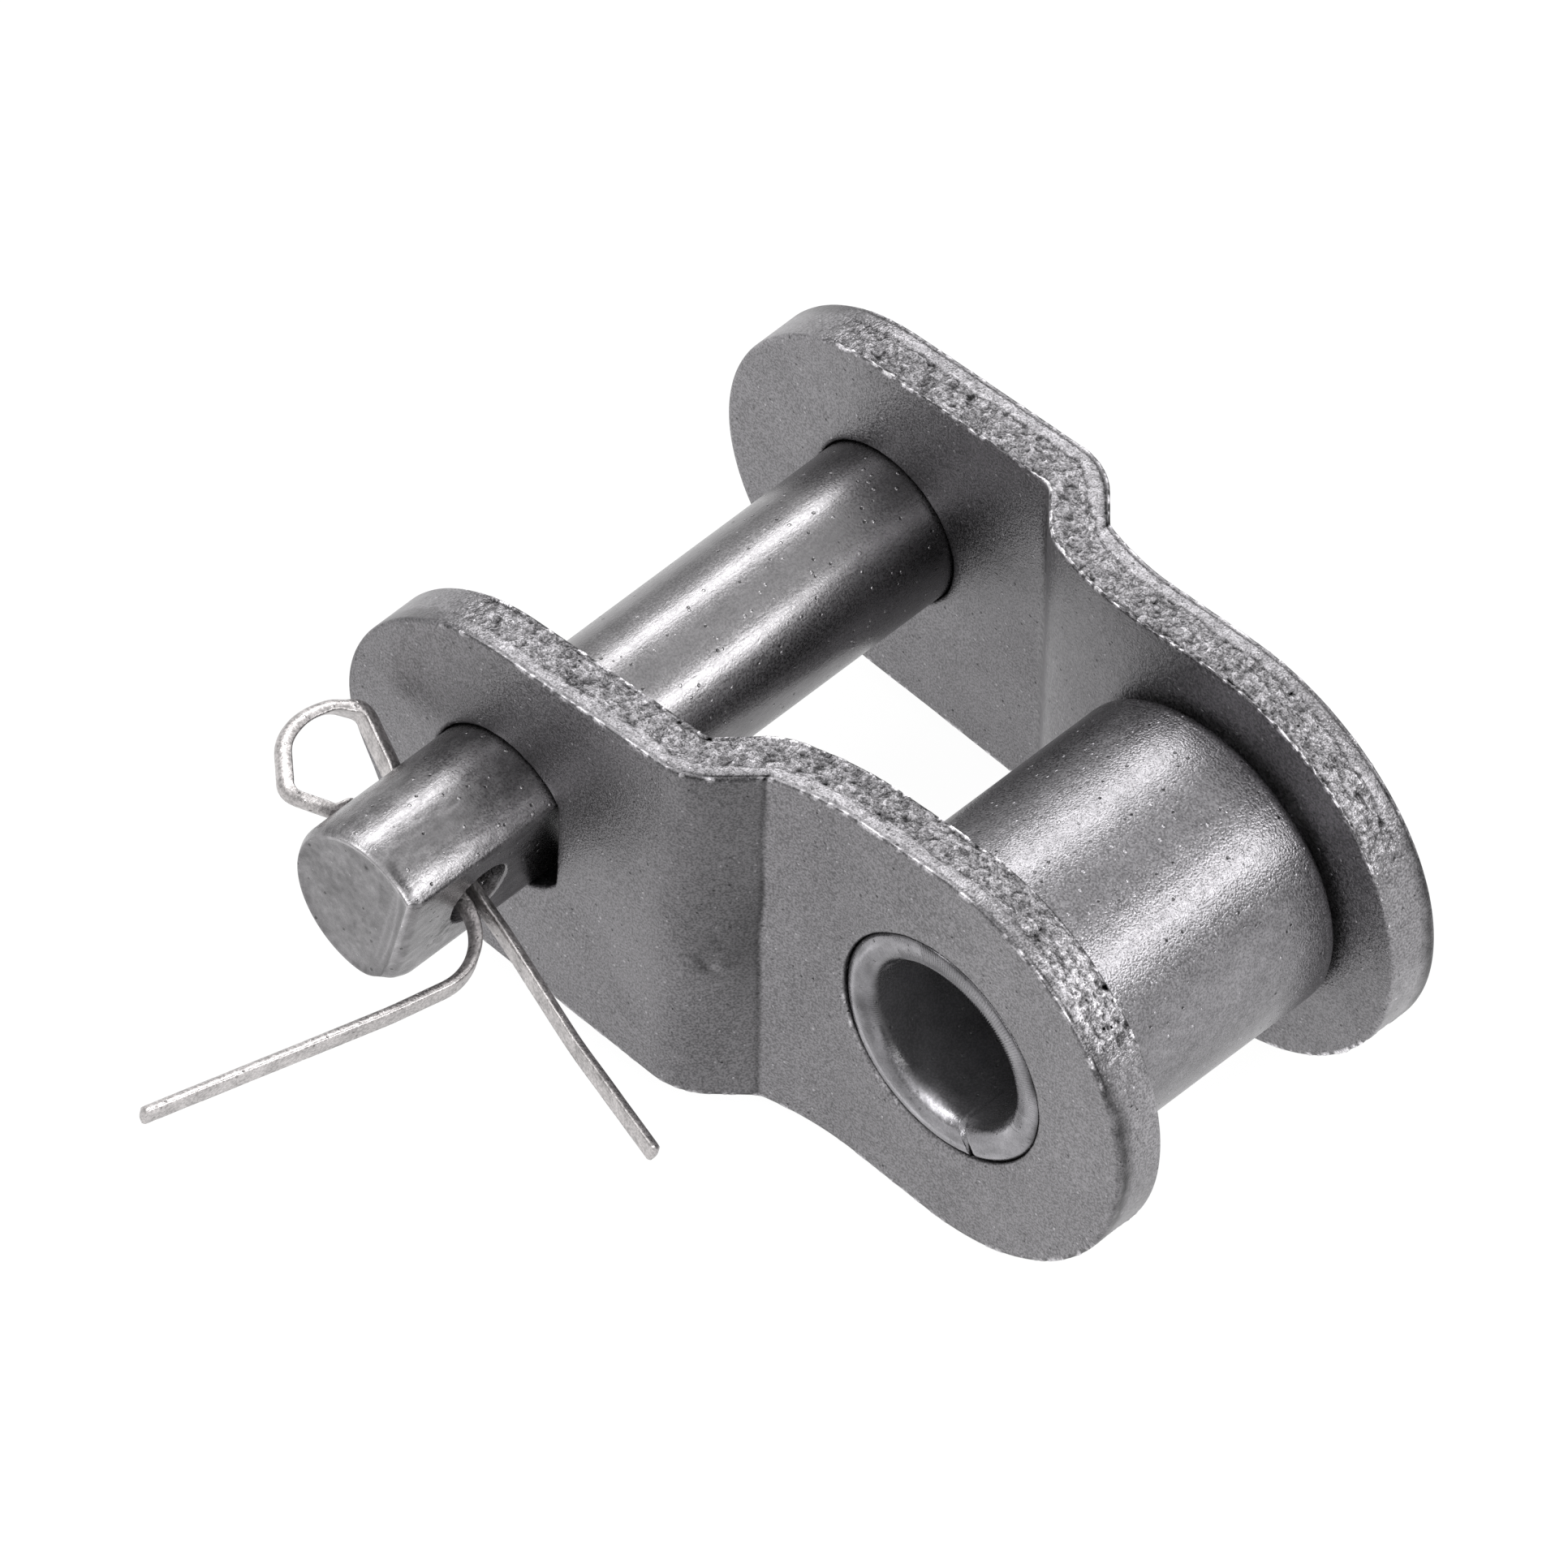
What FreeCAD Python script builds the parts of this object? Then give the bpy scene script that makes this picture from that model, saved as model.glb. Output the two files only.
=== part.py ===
import FreeCAD, Part
import math
import os
import re

import Sketcher
from FreeCAD import Placement, Rotation, Vector

# Offset link of a roller chain, 12.7 mm pitch, lengths in millimetres.
# Origin: middle of the bush bore, halfway between the two plates.
# +X runs from the link pin to the bush, +Y along the axes to the far plate, +Z up.

doc = FreeCAD.newDocument("offset_chain_link")
sizes = doc.addObject("Spreadsheet::Sheet", "sizes")

drivingSizes = {
    "pitch": 12.7,            # pin axis to bush axis
    "pinDiameter": 4.45,
    "bushFit": 0.05,          # bush bore over a pin, on the radius
    "bushWall": 0.925,
    "rollerFit": 0.04,        # roller bore over the bush, on the radius
    "rollerWall": 1.015,
    "narrowWidth": 7.85,      # between the plates at the bush end
    "wideWidth": 11.53,       # between the plates at the pin end
    "plateThickness": 1.45,
    "bushRim": 2.70,          # plate round the bush
    "pinRim": 2.975,          # plate round the pin
    "bendPlace": 5.92,        # pin axis to the bend at the top of the crank
    "creasePlace": 7.38,      # pin axis to the crease at its foot
    "creaseShare": 0.217,     # height of the crease, as a share of the crank's whole step
    "easeRadius": 9.0,        # gentle bend that flattens out after the crease
    "creaseRadius": 0.35,     # tight inside bend of the crease
    "innerBend": 0.55,        # inside radius of the bend at the top
    "edgeBevel": 0.10,        # tumbled edges of the plates
    "bushLip": 0.34,          # rounding at both mouths of the bore
    "bushBevel": 0.10,
    "seamWidth": 0.08,        # open seam of the rolled bush
    "seamAngle": 286.0,       # seam, round the bush axis from +X towards +Z
    "pressFit": 0.01,         # bush larger than its plate holes, on the radius
    "rollerPlay": 0.15,       # roller end to plate, each side
    "rollerBevel": 0.28,
    "pinFit": 0.055,          # pin holes over the pin, on the radius
    "pinNearReach": 4.785,    # pin beyond the near plate, the end with the cotter
    "pinFarReach": 0.785,     # pin beyond the far plate
    "pinNearBevel": 0.25,
    "pinFarBevel": 0.30,
    "flatDepth": 0.805,       # metal taken off for the pin's flat
    "flatPlay": 0.38,         # flat to the straight side of the near plate's hole
    "shoulderPlay": 0.045,    # shoulder at the flat's end to the near plate
    "pinTurn": 12.5,          # the pin rests turned, near the end of its play
    "crossHole": 1.80,
    "crossHoleInset": 2.62,   # cross hole to the pin's near end
    "wireWidth": 0.56,        # half-round wire, round outside and flat inside
    "wirePlay": 0.04,         # strand to the wall of the cross hole
    "eyeRadius": 1.55,
    "eyeSink": 0.30,          # how far the eye is flattened where it lies on the pin
    "eyeShoulder": 0.75,
    "eyeNeck": 0.25,          # bends where the strands enter the cross hole
    "longLegAngle": 12.8,
    "longLegLength": 11.84,   # straight leg, from the back of the pin
    "strandAngle": 4.1,       # the other strand, inside the cross hole
    "strandLength": 3.09,
    "legBend": 1.81,
    "shortLegAngle": 103.4,   # bent leg, from the line of the cross hole
    "shortLegLength": 8.28,
}

for row, (alias, value) in enumerate(drivingSizes.items(), start=1):
    sizes.set(f"A{row}", alias)
    sizes.set(f"B{row}", str(value))
    sizes.setAlias(f"B{row}", alias)
doc.recompute()

# Sizes that follow from the ones above, or from each other.
formulas = {
    "pinRadius": "(pinDiameter / 2)",
    "boreRadius": "(pinDiameter / 2 + bushFit)",
    "bushRadius": "(boreRadius + bushWall)",
    "rollerBore": "(bushRadius + rollerFit)",
    "rollerRadius": "(rollerBore + rollerWall)",
    "bushLobe": "(bushRadius + bushRim)",
    "pinLobe": "(pinRadius + pinRim)",
    "narrowFace": "(narrowWidth / 2 + plateThickness)",
    "wideFace": "(wideWidth / 2 + plateThickness)",
    "creaseHeight": "(narrowFace + creaseShare * (wideFace - narrowFace))",
    "pinNearEnd": "(wideFace + pinNearReach)",
    "pinFarEnd": "(wideFace + pinFarReach)",
    "shoulder": "(wideWidth / 2 - shoulderPlay)",
    "flatHeight": "(pinRadius - flatDepth)",
    "chordHeight": "(flatHeight + flatPlay)",
    "holeMiddle": "(pinNearEnd - crossHoleInset)",
    "strandSide": "(crossHole / 2 - wireWidth / 4 - wirePlay)",
    "eyeMiddle": "(pinRadius + eyeRadius - eyeSink)",
}


# Turns words such as "pitch + bushLobe" into a formula on the sheet's cells.
def formula(words):
    def cell(match):
        name = match.group()
        return formula(formulas[name]) if name in formulas else f"sizes.{name}"
    return re.sub(r"[A-Za-z]\w*", cell, words)


def size(words):
    return float(sizes.evalExpression(formula(words).replace("sizes.", "")))


# Bodies, sketches and features

def newBody(name):
    body = doc.addObject("PartDesign::Body", name)
    body.Label = name
    return body


def sketchOn(body, role, name):
    sketch = body.newObject("Sketcher::SketchObject", name)
    plane = [f for f in body.Origin.OriginFeatures if f.Role == role][0]
    sketch.AttachmentSupport = [(plane, "")]
    sketch.MapMode = "FlatFace"
    return sketch


def pad(body, sketch, name, length):
    feature = body.newObject("PartDesign::Pad", name)
    feature.Profile = sketch
    feature.SideType = "Symmetric"
    feature.setExpression("Length", formula(length))
    doc.recompute()


def revolve(body, sketch, name):
    feature = body.newObject("PartDesign::Revolution", name)
    feature.Profile = sketch
    feature.ReferenceAxis = (sketch, ["V_Axis"])
    feature.Angle = 360
    doc.recompute()


# Cuts a sketch through the whole body, both ways, and makes sure that it cut something.
def cutThrough(body, sketch, name):
    before = body.Tip.Shape.Volume
    feature = body.newObject("PartDesign::Pocket", name)
    feature.Profile = sketch
    feature.Type = "ThroughAll"
    feature.SideType = "Symmetric"
    doc.recompute()
    if feature.Shape.Volume > before - 0.01:
        raise RuntimeError(f"{name} cut nothing from {body.Label}")


def dressEdges(body, kind, name, amount, chosen):
    base = body.Tip
    names = [f"Edge{i}" for i, edge in enumerate(base.Shape.Edges, start=1) if chosen(edge)]
    feature = body.newObject(f"PartDesign::{kind}", name)
    feature.Base = (base, names)
    feature.setExpression("Radius" if kind == "Fillet" else "Size", formula(amount))
    doc.recompute()


# Picks the round edges of one radius.
def roundEdge(radius):
    def chosen(edge):
        return isinstance(edge.Curve, Part.Circle) and abs(edge.Curve.Radius - radius) < 1e-4
    return chosen


# Geometry and constraints in a sketch; a place is one of a line's or an arc's points.

origin = (-1, 1)
start, end, middle = range(1, 4)


def line(sketch, first, last):
    return sketch.addGeometry(Part.LineSegment(Vector(*first, 0), Vector(*last, 0)))


def circle(sketch, centre, radius):
    return sketch.addGeometry(Part.Circle(Vector(*centre, 0), Vector(0, 0, 1), radius))


# An arc runs anticlockwise from its first angle, in degrees, to its second.
def arc(sketch, centre, radius, first, last):
    whole = Part.Circle(Vector(*centre, 0), Vector(0, 0, 1), radius)
    return sketch.addGeometry(Part.ArcOfCircle(whole, math.radians(first), math.radians(last)))


def polar(centre, radius, angle):
    turn = math.radians(angle)
    return (centre[0] + radius * math.cos(turn), centre[1] + radius * math.sin(turn))


def bearing(first, last):
    return math.degrees(math.atan2(last[1] - first[1], last[0] - first[0]))


def relate(sketch, kind, *places):
    sketch.addConstraint(Sketcher.Constraint(kind, *places))


def dimension(sketch, kind, places, words):
    value = size(words)
    first = math.radians(value) if kind == "Angle" else value
    index = sketch.addConstraint(Sketcher.Constraint(kind, *places, first))
    sketch.setExpression(f"Constraints[{index}]", formula(words))


# Places a point left or right of, and above or below, the sketch's origin.
def pointAt(sketch, geometry, place, left=None, right=None, up=None, down=None):
    if left:
        dimension(sketch, "DistanceX", (geometry, place, *origin), left)
    if right:
        dimension(sketch, "DistanceX", (*origin, geometry, place), right)
    if up:
        dimension(sketch, "DistanceY", (*origin, geometry, place), up)
    if down:
        dimension(sketch, "DistanceY", (geometry, place, *origin), down)


# A closed chain of lines through the corners.
def polygon(sketch, corners):
    count = len(corners)
    sides = [line(sketch, corners[i], corners[(i + 1) % count]) for i in range(count)]
    for i in range(count):
        relate(sketch, "Coincident", sides[i], end, sides[(i + 1) % count], start)
    return sides


def rectangle(sketch, left, right, bottom, top):
    sides = polygon(sketch, [(left, bottom), (right, bottom), (right, top), (left, top)])
    for i, kind in enumerate(("Horizontal", "Vertical", "Horizontal", "Vertical")):
        relate(sketch, kind, sides[i])
    return sides


# Plates: a strip with the crank bent into it, cut to the link's outline.
# Both are drawn on the +Y side; the near one is then turned over about X.

def bentStrip(body):
    sketch = sketchOn(body, "XY_Plane", "bent_strip")
    thick, bend, crease, ease = map(size, ("plateThickness", "innerBend + plateThickness",
                                           "creaseRadius", "easeRadius"))
    wideY, narrowY = size("wideFace"), size("narrowFace")
    left, right = -size("pitch + pinLobe + 1"), size("bushLobe + 1")

    # the outer side, worked out from the foot of the crank to its top
    foot = (size("creasePlace - pitch"), size("creaseHeight"))
    slope = math.degrees(math.acos(1 - (foot[1] - narrowY) / ease))
    easeCentre = polar(foot, ease, 90 - slope)
    creaseCentre = polar(foot, crease, 90 - slope)
    corner = (size("bendPlace - pitch"), wideY)
    reach = math.dist(corner, creaseCentre)
    ramp = -bearing(corner, creaseCentre) + math.degrees(math.asin(crease / reach))
    rampFoot = polar(creaseCentre, crease, 270 - ramp)
    rampTop = polar(corner, bend * math.tan(math.radians(ramp / 2)), -ramp)
    bendCentre = polar(rampTop, bend, 270 - ramp)

    wide = line(sketch, (left, wideY), (bendCentre[0], wideY))
    bendArc = arc(sketch, bendCentre, bend, 90 - ramp, 90)
    rampLine = line(sketch, rampFoot, rampTop)
    creaseArc = arc(sketch, creaseCentre, crease, 270 - ramp, 270 - slope)
    easeArc = arc(sketch, easeCentre, ease, 270 - slope, 270)
    narrow = line(sketch, (easeCentre[0], narrowY), (right, narrowY))
    rightEnd = line(sketch, (right, narrowY), (right, narrowY - thick))

    # the inner side, one thickness below it
    narrowIn = line(sketch, (right, narrowY - thick), (easeCentre[0], narrowY - thick))
    easeIn = arc(sketch, easeCentre, ease + thick, 270 - slope, 270)
    creaseIn = arc(sketch, creaseCentre, crease + thick, 270 - ramp, 270 - slope)
    rampIn = line(sketch, polar(creaseCentre, crease + thick, 270 - ramp),
                  polar(bendCentre, bend - thick, 90 - ramp))
    bendIn = arc(sketch, bendCentre, bend - thick, 90 - ramp, 90)
    wideIn = line(sketch, (bendCentre[0], wideY - thick), (left, wideY - thick))
    leftEnd = line(sketch, (left, wideY - thick), (left, wideY))

    for flat in (wide, narrow, narrowIn, wideIn):
        relate(sketch, "Horizontal", flat)
    for side in (leftEnd, rightEnd):
        relate(sketch, "Vertical", side)
    for first, second in ((leftEnd, wide), (wideIn, leftEnd), (narrow, rightEnd),
                          (rightEnd, narrowIn)):
        relate(sketch, "Coincident", first, end, second, start)
    for first, firstPlace, second, secondPlace in (
            (wide, end, bendArc, end), (bendArc, start, rampLine, end),
            (rampLine, start, creaseArc, start), (creaseArc, end, easeArc, start),
            (easeArc, end, narrow, start), (narrowIn, end, easeIn, end),
            (easeIn, start, creaseIn, end), (creaseIn, start, rampIn, start),
            (rampIn, end, bendIn, start), (bendIn, end, wideIn, start)):
        relate(sketch, "Tangent", first, firstPlace, second, secondPlace)
    for inside, outside in ((bendIn, bendArc), (creaseIn, creaseArc), (easeIn, easeArc)):
        relate(sketch, "Coincident", inside, middle, outside, middle)

    bendCorner = sketch.addGeometry(Part.Point(Vector(*corner, 0)), True)
    relate(sketch, "PointOnObject", bendCorner, start, wide)
    relate(sketch, "PointOnObject", bendCorner, start, rampLine)
    pointAt(sketch, bendCorner, start, left="pitch - bendPlace")
    pointAt(sketch, wide, start, left="pitch + pinLobe + 1", up="wideFace")
    pointAt(sketch, narrow, end, right="bushLobe + 1", up="narrowFace")
    pointAt(sketch, easeArc, start, left="pitch - creasePlace", up="creaseHeight")
    dimension(sketch, "Radius", (bendIn,), "innerBend")
    dimension(sketch, "Radius", (bendArc,), "innerBend + plateThickness")
    dimension(sketch, "Radius", (creaseArc,), "creaseRadius")
    dimension(sketch, "Radius", (creaseIn,), "creaseRadius + plateThickness")
    dimension(sketch, "Radius", (easeArc,), "easeRadius")
    pad(body, sketch, "strip", "2 * (bushLobe + 1)")


# Two lobes joined by straight tangents. What lies between them and a frame is cut off.
def outlineCut(body):
    sketch = sketchOn(body, "XZ_Plane", "outline")
    pitch, bushLobe, pinLobe = map(size, ("pitch", "bushLobe", "pinLobe"))
    pinCentre = (-pitch, 0)
    touch = 90 + math.degrees(math.asin((bushLobe - pinLobe) / pitch))
    bushArc = arc(sketch, (0, 0), bushLobe, -touch, touch)
    pinArc = arc(sketch, pinCentre, pinLobe, touch, 360 - touch)
    upper = line(sketch, polar((0, 0), bushLobe, touch), polar(pinCentre, pinLobe, touch))
    lower = line(sketch, polar(pinCentre, pinLobe, -touch), polar((0, 0), bushLobe, -touch))
    chain = (bushArc, upper, pinArc, lower)
    for i, piece in enumerate(chain):
        relate(sketch, "Tangent", piece, end, chain[(i + 1) % 4], start)
    relate(sketch, "Coincident", bushArc, middle, *origin)
    relate(sketch, "PointOnObject", pinArc, middle, -1)
    pointAt(sketch, pinArc, middle, left="pitch")
    dimension(sketch, "Radius", (bushArc,), "bushLobe")
    dimension(sketch, "Radius", (pinArc,), "pinLobe")

    frame = rectangle(sketch, -pitch - pinLobe - 2, bushLobe + 2, -bushLobe - 2, bushLobe + 2)
    pointAt(sketch, frame[0], start, left="pitch + pinLobe + 2", down="bushLobe + 2")
    pointAt(sketch, frame[2], start, right="bushLobe + 2", up="bushLobe + 2")
    cutThrough(body, sketch, "outline_cut")


# The hole for the bush, and for the pin either a round hole or one with a straight side.
def plateHoles(body, straightSide):
    sketch = sketchOn(body, "XZ_Plane", "holes")
    bushHole = circle(sketch, (0, 0), size("bushRadius - pressFit"))
    relate(sketch, "Coincident", bushHole, middle, *origin)
    dimension(sketch, "Radius", (bushHole,), "bushRadius - pressFit")

    pinCentre, pinHole = (-size("pitch"), 0), size("pinRadius + pinFit")
    if straightSide:
        corner = math.degrees(math.acos(size("chordHeight") / pinHole))
        hole = arc(sketch, pinCentre, pinHole, corner, 360 - corner)
        chord = line(sketch, polar(pinCentre, pinHole, -corner), polar(pinCentre, pinHole, corner))
        relate(sketch, "Coincident", hole, end, chord, start)
        relate(sketch, "Coincident", chord, end, hole, start)
        relate(sketch, "Vertical", chord)
        dimension(sketch, "DistanceX", (hole, middle, chord, start), "chordHeight")
    else:
        hole = circle(sketch, pinCentre, pinHole)
    relate(sketch, "PointOnObject", hole, middle, -1)
    pointAt(sketch, hole, middle, left="pitch")
    dimension(sketch, "Radius", (hole,), "pinRadius + pinFit")
    cutThrough(body, sketch, "hole_cut")


# The rim's edges: not the straight ones along Y or Z, and not the round holes.
def rimEdge(edge):
    box = edge.BoundBox
    flatWays = [span < 0.01 for span in (box.XLength, box.YLength, box.ZLength)]
    largestHole = size("bushRadius + 0.1")
    hole = isinstance(edge.Curve, Part.Circle) and edge.Curve.Radius < largestHole
    return sum(flatWays) < 2 and not hole


def plate(name, straightSide, turned):
    body = newBody(name)
    bentStrip(body)
    outlineCut(body)
    plateHoles(body, straightSide)
    dressEdges(body, "Chamfer", "tumbled_edges", "edgeBevel", rimEdge)
    if turned:
        body.Placement = Placement(Vector(0, 0, 0), Rotation(Vector(1, 0, 0), 180))
    return body


# A turned ring about Y, from its bore to its outside, the same length to both sides.
def turnedRing(body, bore, outside, half):
    sketch = sketchOn(body, "XY_Plane", "ring_section")
    sides = rectangle(sketch, size(bore), size(outside), -size(half), size(half))
    pointAt(sketch, sides[0], start, right=bore, down=half)
    pointAt(sketch, sides[2], start, right=outside, up=half)
    revolve(body, sketch, "ring")


# Bush: strip rolled into a tube, its seam open by a hair, its bore rounded at both mouths.
def rolledBush():
    body = newBody("bush")
    turnedRing(body, "boreRadius", "bushRadius", "narrowFace")
    dressEdges(body, "Fillet", "bore_mouths", "bushLip", roundEdge(size("boreRadius")))
    dressEdges(body, "Chamfer", "outer_edges", "bushBevel", roundEdge(size("bushRadius")))
    seam = sketchOn(body, "XZ_Plane", "seam")
    upright = Rotation(Vector(0, 0, 1), size("seamAngle"))
    seam.AttachmentOffset = Placement(Vector(0, 0, 0), upright)
    seam.setExpression("AttachmentOffset.Rotation.Angle", formula("seamAngle"))
    half = size("seamWidth / 2")
    slit = rectangle(seam, size("boreRadius / 2"), size("bushRadius + 1"), -half, half)
    pointAt(seam, slit[0], start, right="boreRadius / 2", down="seamWidth / 2")
    pointAt(seam, slit[2], start, right="bushRadius + 1", up="seamWidth / 2")
    cutThrough(body, seam, "open_seam")
    return body


# Roller: turns freely on the bush, between the plates.
def freeRoller():
    body = newBody("roller")
    turnedRing(body, "rollerBore", "rollerRadius", "narrowWidth / 2 - rollerPlay")
    dressEdges(body, "Chamfer", "outer_edges", "rollerBevel", roundEdge(size("rollerRadius")))
    dressEdges(body, "Chamfer", "bore_edges", "bushBevel", roundEdge(size("rollerBore")))
    return body


# The pin and its cotter lie in a frame of their own: pin axis along Y through its origin,
# the flat facing +X, turned nearly as far as the straight side of the plate's hole lets it.
def placeWithPin(body):
    body.Placement = Placement(Vector(-size("pitch"), 0, 0),
                               Rotation(Vector(0, 1, 0), size("pinTurn")))


def linkPin():
    body = newBody("link_pin")
    section = sketchOn(body, "XY_Plane", "pin_section")
    radius, near, far = size("pinRadius"), size("pinNearEnd"), size("pinFarEnd")
    nearBevel, farBevel = size("pinNearBevel"), size("pinFarBevel")
    sides = polygon(section, [(0, -near), (radius - nearBevel, -near),
                              (radius, nearBevel - near), (radius, far - farBevel),
                              (radius - farBevel, far), (0, far)])
    relate(section, "Horizontal", sides[0])
    relate(section, "Vertical", sides[2])
    relate(section, "Horizontal", sides[4])
    relate(section, "PointOnObject", sides[5], start, -2)
    relate(section, "PointOnObject", sides[5], end, -2)
    pointAt(section, sides[1], start, right="pinRadius - pinNearBevel", down="pinNearEnd")
    pointAt(section, sides[2], start, right="pinRadius", down="pinNearEnd - pinNearBevel")
    pointAt(section, sides[3], start, up="pinFarEnd - pinFarBevel")
    pointAt(section, sides[4], start, right="pinRadius - pinFarBevel", up="pinFarEnd")
    revolve(body, section, "barrel")

    flat = sketchOn(body, "XY_Plane", "flat")
    cut = rectangle(flat, size("flatHeight"), radius + 1, -near - 1, -size("shoulder"))
    pointAt(flat, cut[0], start, right="flatHeight", down="pinNearEnd + 1")
    pointAt(flat, cut[2], start, right="pinRadius + 1", down="shoulder")
    cutThrough(body, flat, "flat_cut")

    cross = sketchOn(body, "YZ_Plane", "cross_hole")
    hole = circle(cross, (-size("holeMiddle"), 0), size("crossHole / 2"))
    relate(cross, "PointOnObject", hole, middle, -1)
    pointAt(cross, hole, middle, left="holeMiddle")
    dimension(cross, "Radius", (hole,), "crossHole / 2")
    cutThrough(body, cross, "cross_hole_cut")
    placeWithPin(body)
    return body


# Cotter: one half-round wire. Its eye lies flattened against the back of the pin, two
# strands go through the cross hole, one leg runs on straight and one is bent over.

# Centre of the arc that touches two others, on the left of the way from one to the other.
def touching(first, firstReach, second, secondReach):
    apart = math.dist(first, second)
    along = (apart ** 2 + firstReach ** 2 - secondReach ** 2) / (2 * apart)
    aside = math.degrees(math.acos(along / firstReach))
    return polar(first, firstReach, bearing(first, second) + aside)


def wireRoute(body):
    route = sketchOn(body, "XY_Plane", "route")
    back, side, strand = -size("pinRadius"), -size("holeMiddle"), size("strandSide")
    eye, shoulder, neck = size("eyeRadius"), size("eyeShoulder"), size("eyeNeck")
    longAngle, strandAngle = size("longLegAngle"), size("strandAngle")
    shortAngle, bend = size("shortLegAngle"), size("legBend")
    eyeCentre = (-size("eyeMiddle"), side)

    upStart = (back, side + strand)
    upNeck = polar(upStart, neck, 90 - longAngle)
    upShoulder = touching(eyeCentre, eye - shoulder, upNeck, shoulder + neck)
    downStart = (back, side - strand)
    downNeck = polar(downStart, neck, 270 + strandAngle)
    downShoulder = touching(downNeck, shoulder + neck, eyeCentre, eye - shoulder)
    longTip = polar(upStart, size("longLegLength"), -longAngle)
    bendStart = polar(downStart, size("strandLength"), strandAngle)
    bendCentre = polar(bendStart, bend, 270 + strandAngle)
    bendEnd = polar(bendCentre, bend, 90 - shortAngle)
    shortTip = polar(bendEnd, size("shortLegLength"), -shortAngle)

    upMeet, upJoin = bearing(upShoulder, upNeck), bearing(eyeCentre, upShoulder)
    downMeet, downJoin = bearing(downShoulder, downNeck), bearing(eyeCentre, downShoulder)
    longLeg = line(route, longTip, upStart)
    neckUp = arc(route, upNeck, neck, 180 + upMeet, 270 - longAngle)
    shoulderUp = arc(route, upShoulder, shoulder, upMeet, upJoin)
    eyeArc = arc(route, eyeCentre, eye, upJoin, 360 + downJoin)
    shoulderDown = arc(route, downShoulder, shoulder, downJoin, downMeet)
    neckDown = arc(route, downNeck, neck, 90 + strandAngle, 180 + downMeet)
    strandLine = line(route, downStart, bendStart)
    bendArc = arc(route, bendCentre, bend, 90 - shortAngle, 90 + strandAngle)
    shortLeg = line(route, bendEnd, shortTip)

    for first, firstPlace, second, secondPlace in (
            (longLeg, end, neckUp, end), (neckUp, start, shoulderUp, start),
            (shoulderUp, end, eyeArc, start), (eyeArc, end, shoulderDown, start),
            (shoulderDown, end, neckDown, end), (neckDown, start, strandLine, start),
            (strandLine, end, bendArc, end), (bendArc, start, shortLeg, start)):
        relate(route, "Tangent", first, firstPlace, second, secondPlace)
    pointAt(route, longLeg, end, left="pinRadius", down="holeMiddle - strandSide")
    dimension(route, "Angle", (longLeg,), "180 - longLegAngle")
    dimension(route, "Distance", (longLeg,), "longLegLength")
    pointAt(route, strandLine, start, left="pinRadius", down="holeMiddle + strandSide")
    dimension(route, "Angle", (strandLine,), "strandAngle")
    dimension(route, "Distance", (strandLine,), "strandLength")
    pointAt(route, eyeArc, middle, left="eyeMiddle", down="holeMiddle")
    dimension(route, "Radius", (eyeArc,), "eyeRadius")
    for piece in (shoulderUp, shoulderDown):
        dimension(route, "Radius", (piece,), "eyeShoulder")
    for piece in (neckUp, neckDown):
        dimension(route, "Radius", (piece,), "eyeNeck")
    dimension(route, "Radius", (bendArc,), "legBend")
    dimension(route, "Angle", (shortLeg,), "0 - shortLegAngle")
    dimension(route, "Distance", (shortLeg,), "shortLegLength")
    return route, longTip


# The half-round section stands square to the straight leg at its tip, flat side inwards.
def wireSection(body, longTip):
    wire = sketchOn(body, "YZ_Plane", "wire_section")
    plane = Rotation(Vector(1, 1, 1), 120)
    square = Rotation(Vector(0, 0, 1), -size("longLegAngle")) * plane
    wire.AttachmentOffset = Placement(plane.inverted().multVec(Vector(*longTip, 0)),
                                      plane.inverted() * square)
    radius = size("wireWidth / 2")
    roundSide = arc(wire, (-radius / 2, 0), radius, -90, 90)
    flatSide = line(wire, (-radius / 2, radius), (-radius / 2, -radius))
    relate(wire, "Coincident", roundSide, end, flatSide, start)
    relate(wire, "Coincident", flatSide, end, roundSide, start)
    relate(wire, "Vertical", flatSide)
    relate(wire, "PointOnObject", roundSide, middle, flatSide)
    relate(wire, "PointOnObject", roundSide, middle, -1)
    pointAt(wire, roundSide, middle, left="wireWidth / 4")
    dimension(wire, "Radius", (roundSide,), "wireWidth / 2")
    return wire


def cotterPin():
    body = newBody("cotter_pin")
    route, longTip = wireRoute(body)
    section = wireSection(body, longTip)
    doc.recompute()
    wire = body.newObject("PartDesign::AdditivePipe", "wire")
    wire.Profile = section
    wire.Spine = (route, [])
    wire.Mode = "Frenet"
    doc.recompute()
    placeWithPin(body)
    return body


pieces = [
    plate("near_plate", straightSide=True, turned=True),
    plate("far_plate", straightSide=False, turned=False),
    rolledBush(),
    freeRoller(),
    linkPin(),
    cotterPin(),
]
doc.recompute()

# Nothing is written before every object and every shape is sound.
for item in doc.Objects:
    if "Invalid" in item.State or "Error" in item.State:
        raise RuntimeError(f"{item.Name} is {item.State}")
    if item.isDerivedFrom("Sketcher::SketchObject") and not item.FullyConstrained:
        print("sketch left open:", item.Label)
for piece in pieces:
    if piece.Shape.isNull() or not piece.Shape.isValid() or len(piece.Shape.Solids) != 1:
        raise RuntimeError(f"{piece.Label} is not one sound solid")
    print(piece.Label, round(piece.Shape.Volume, 2), "mm3")

os.makedirs("parts", exist_ok=True)
for piece in pieces:
    piece.Shape.exportStep(f"parts/{piece.Label}.step")
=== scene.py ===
import itertools
import math

import bmesh
import bpy
import numpy as np
from mathutils import Matrix, Vector, geometry


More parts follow.
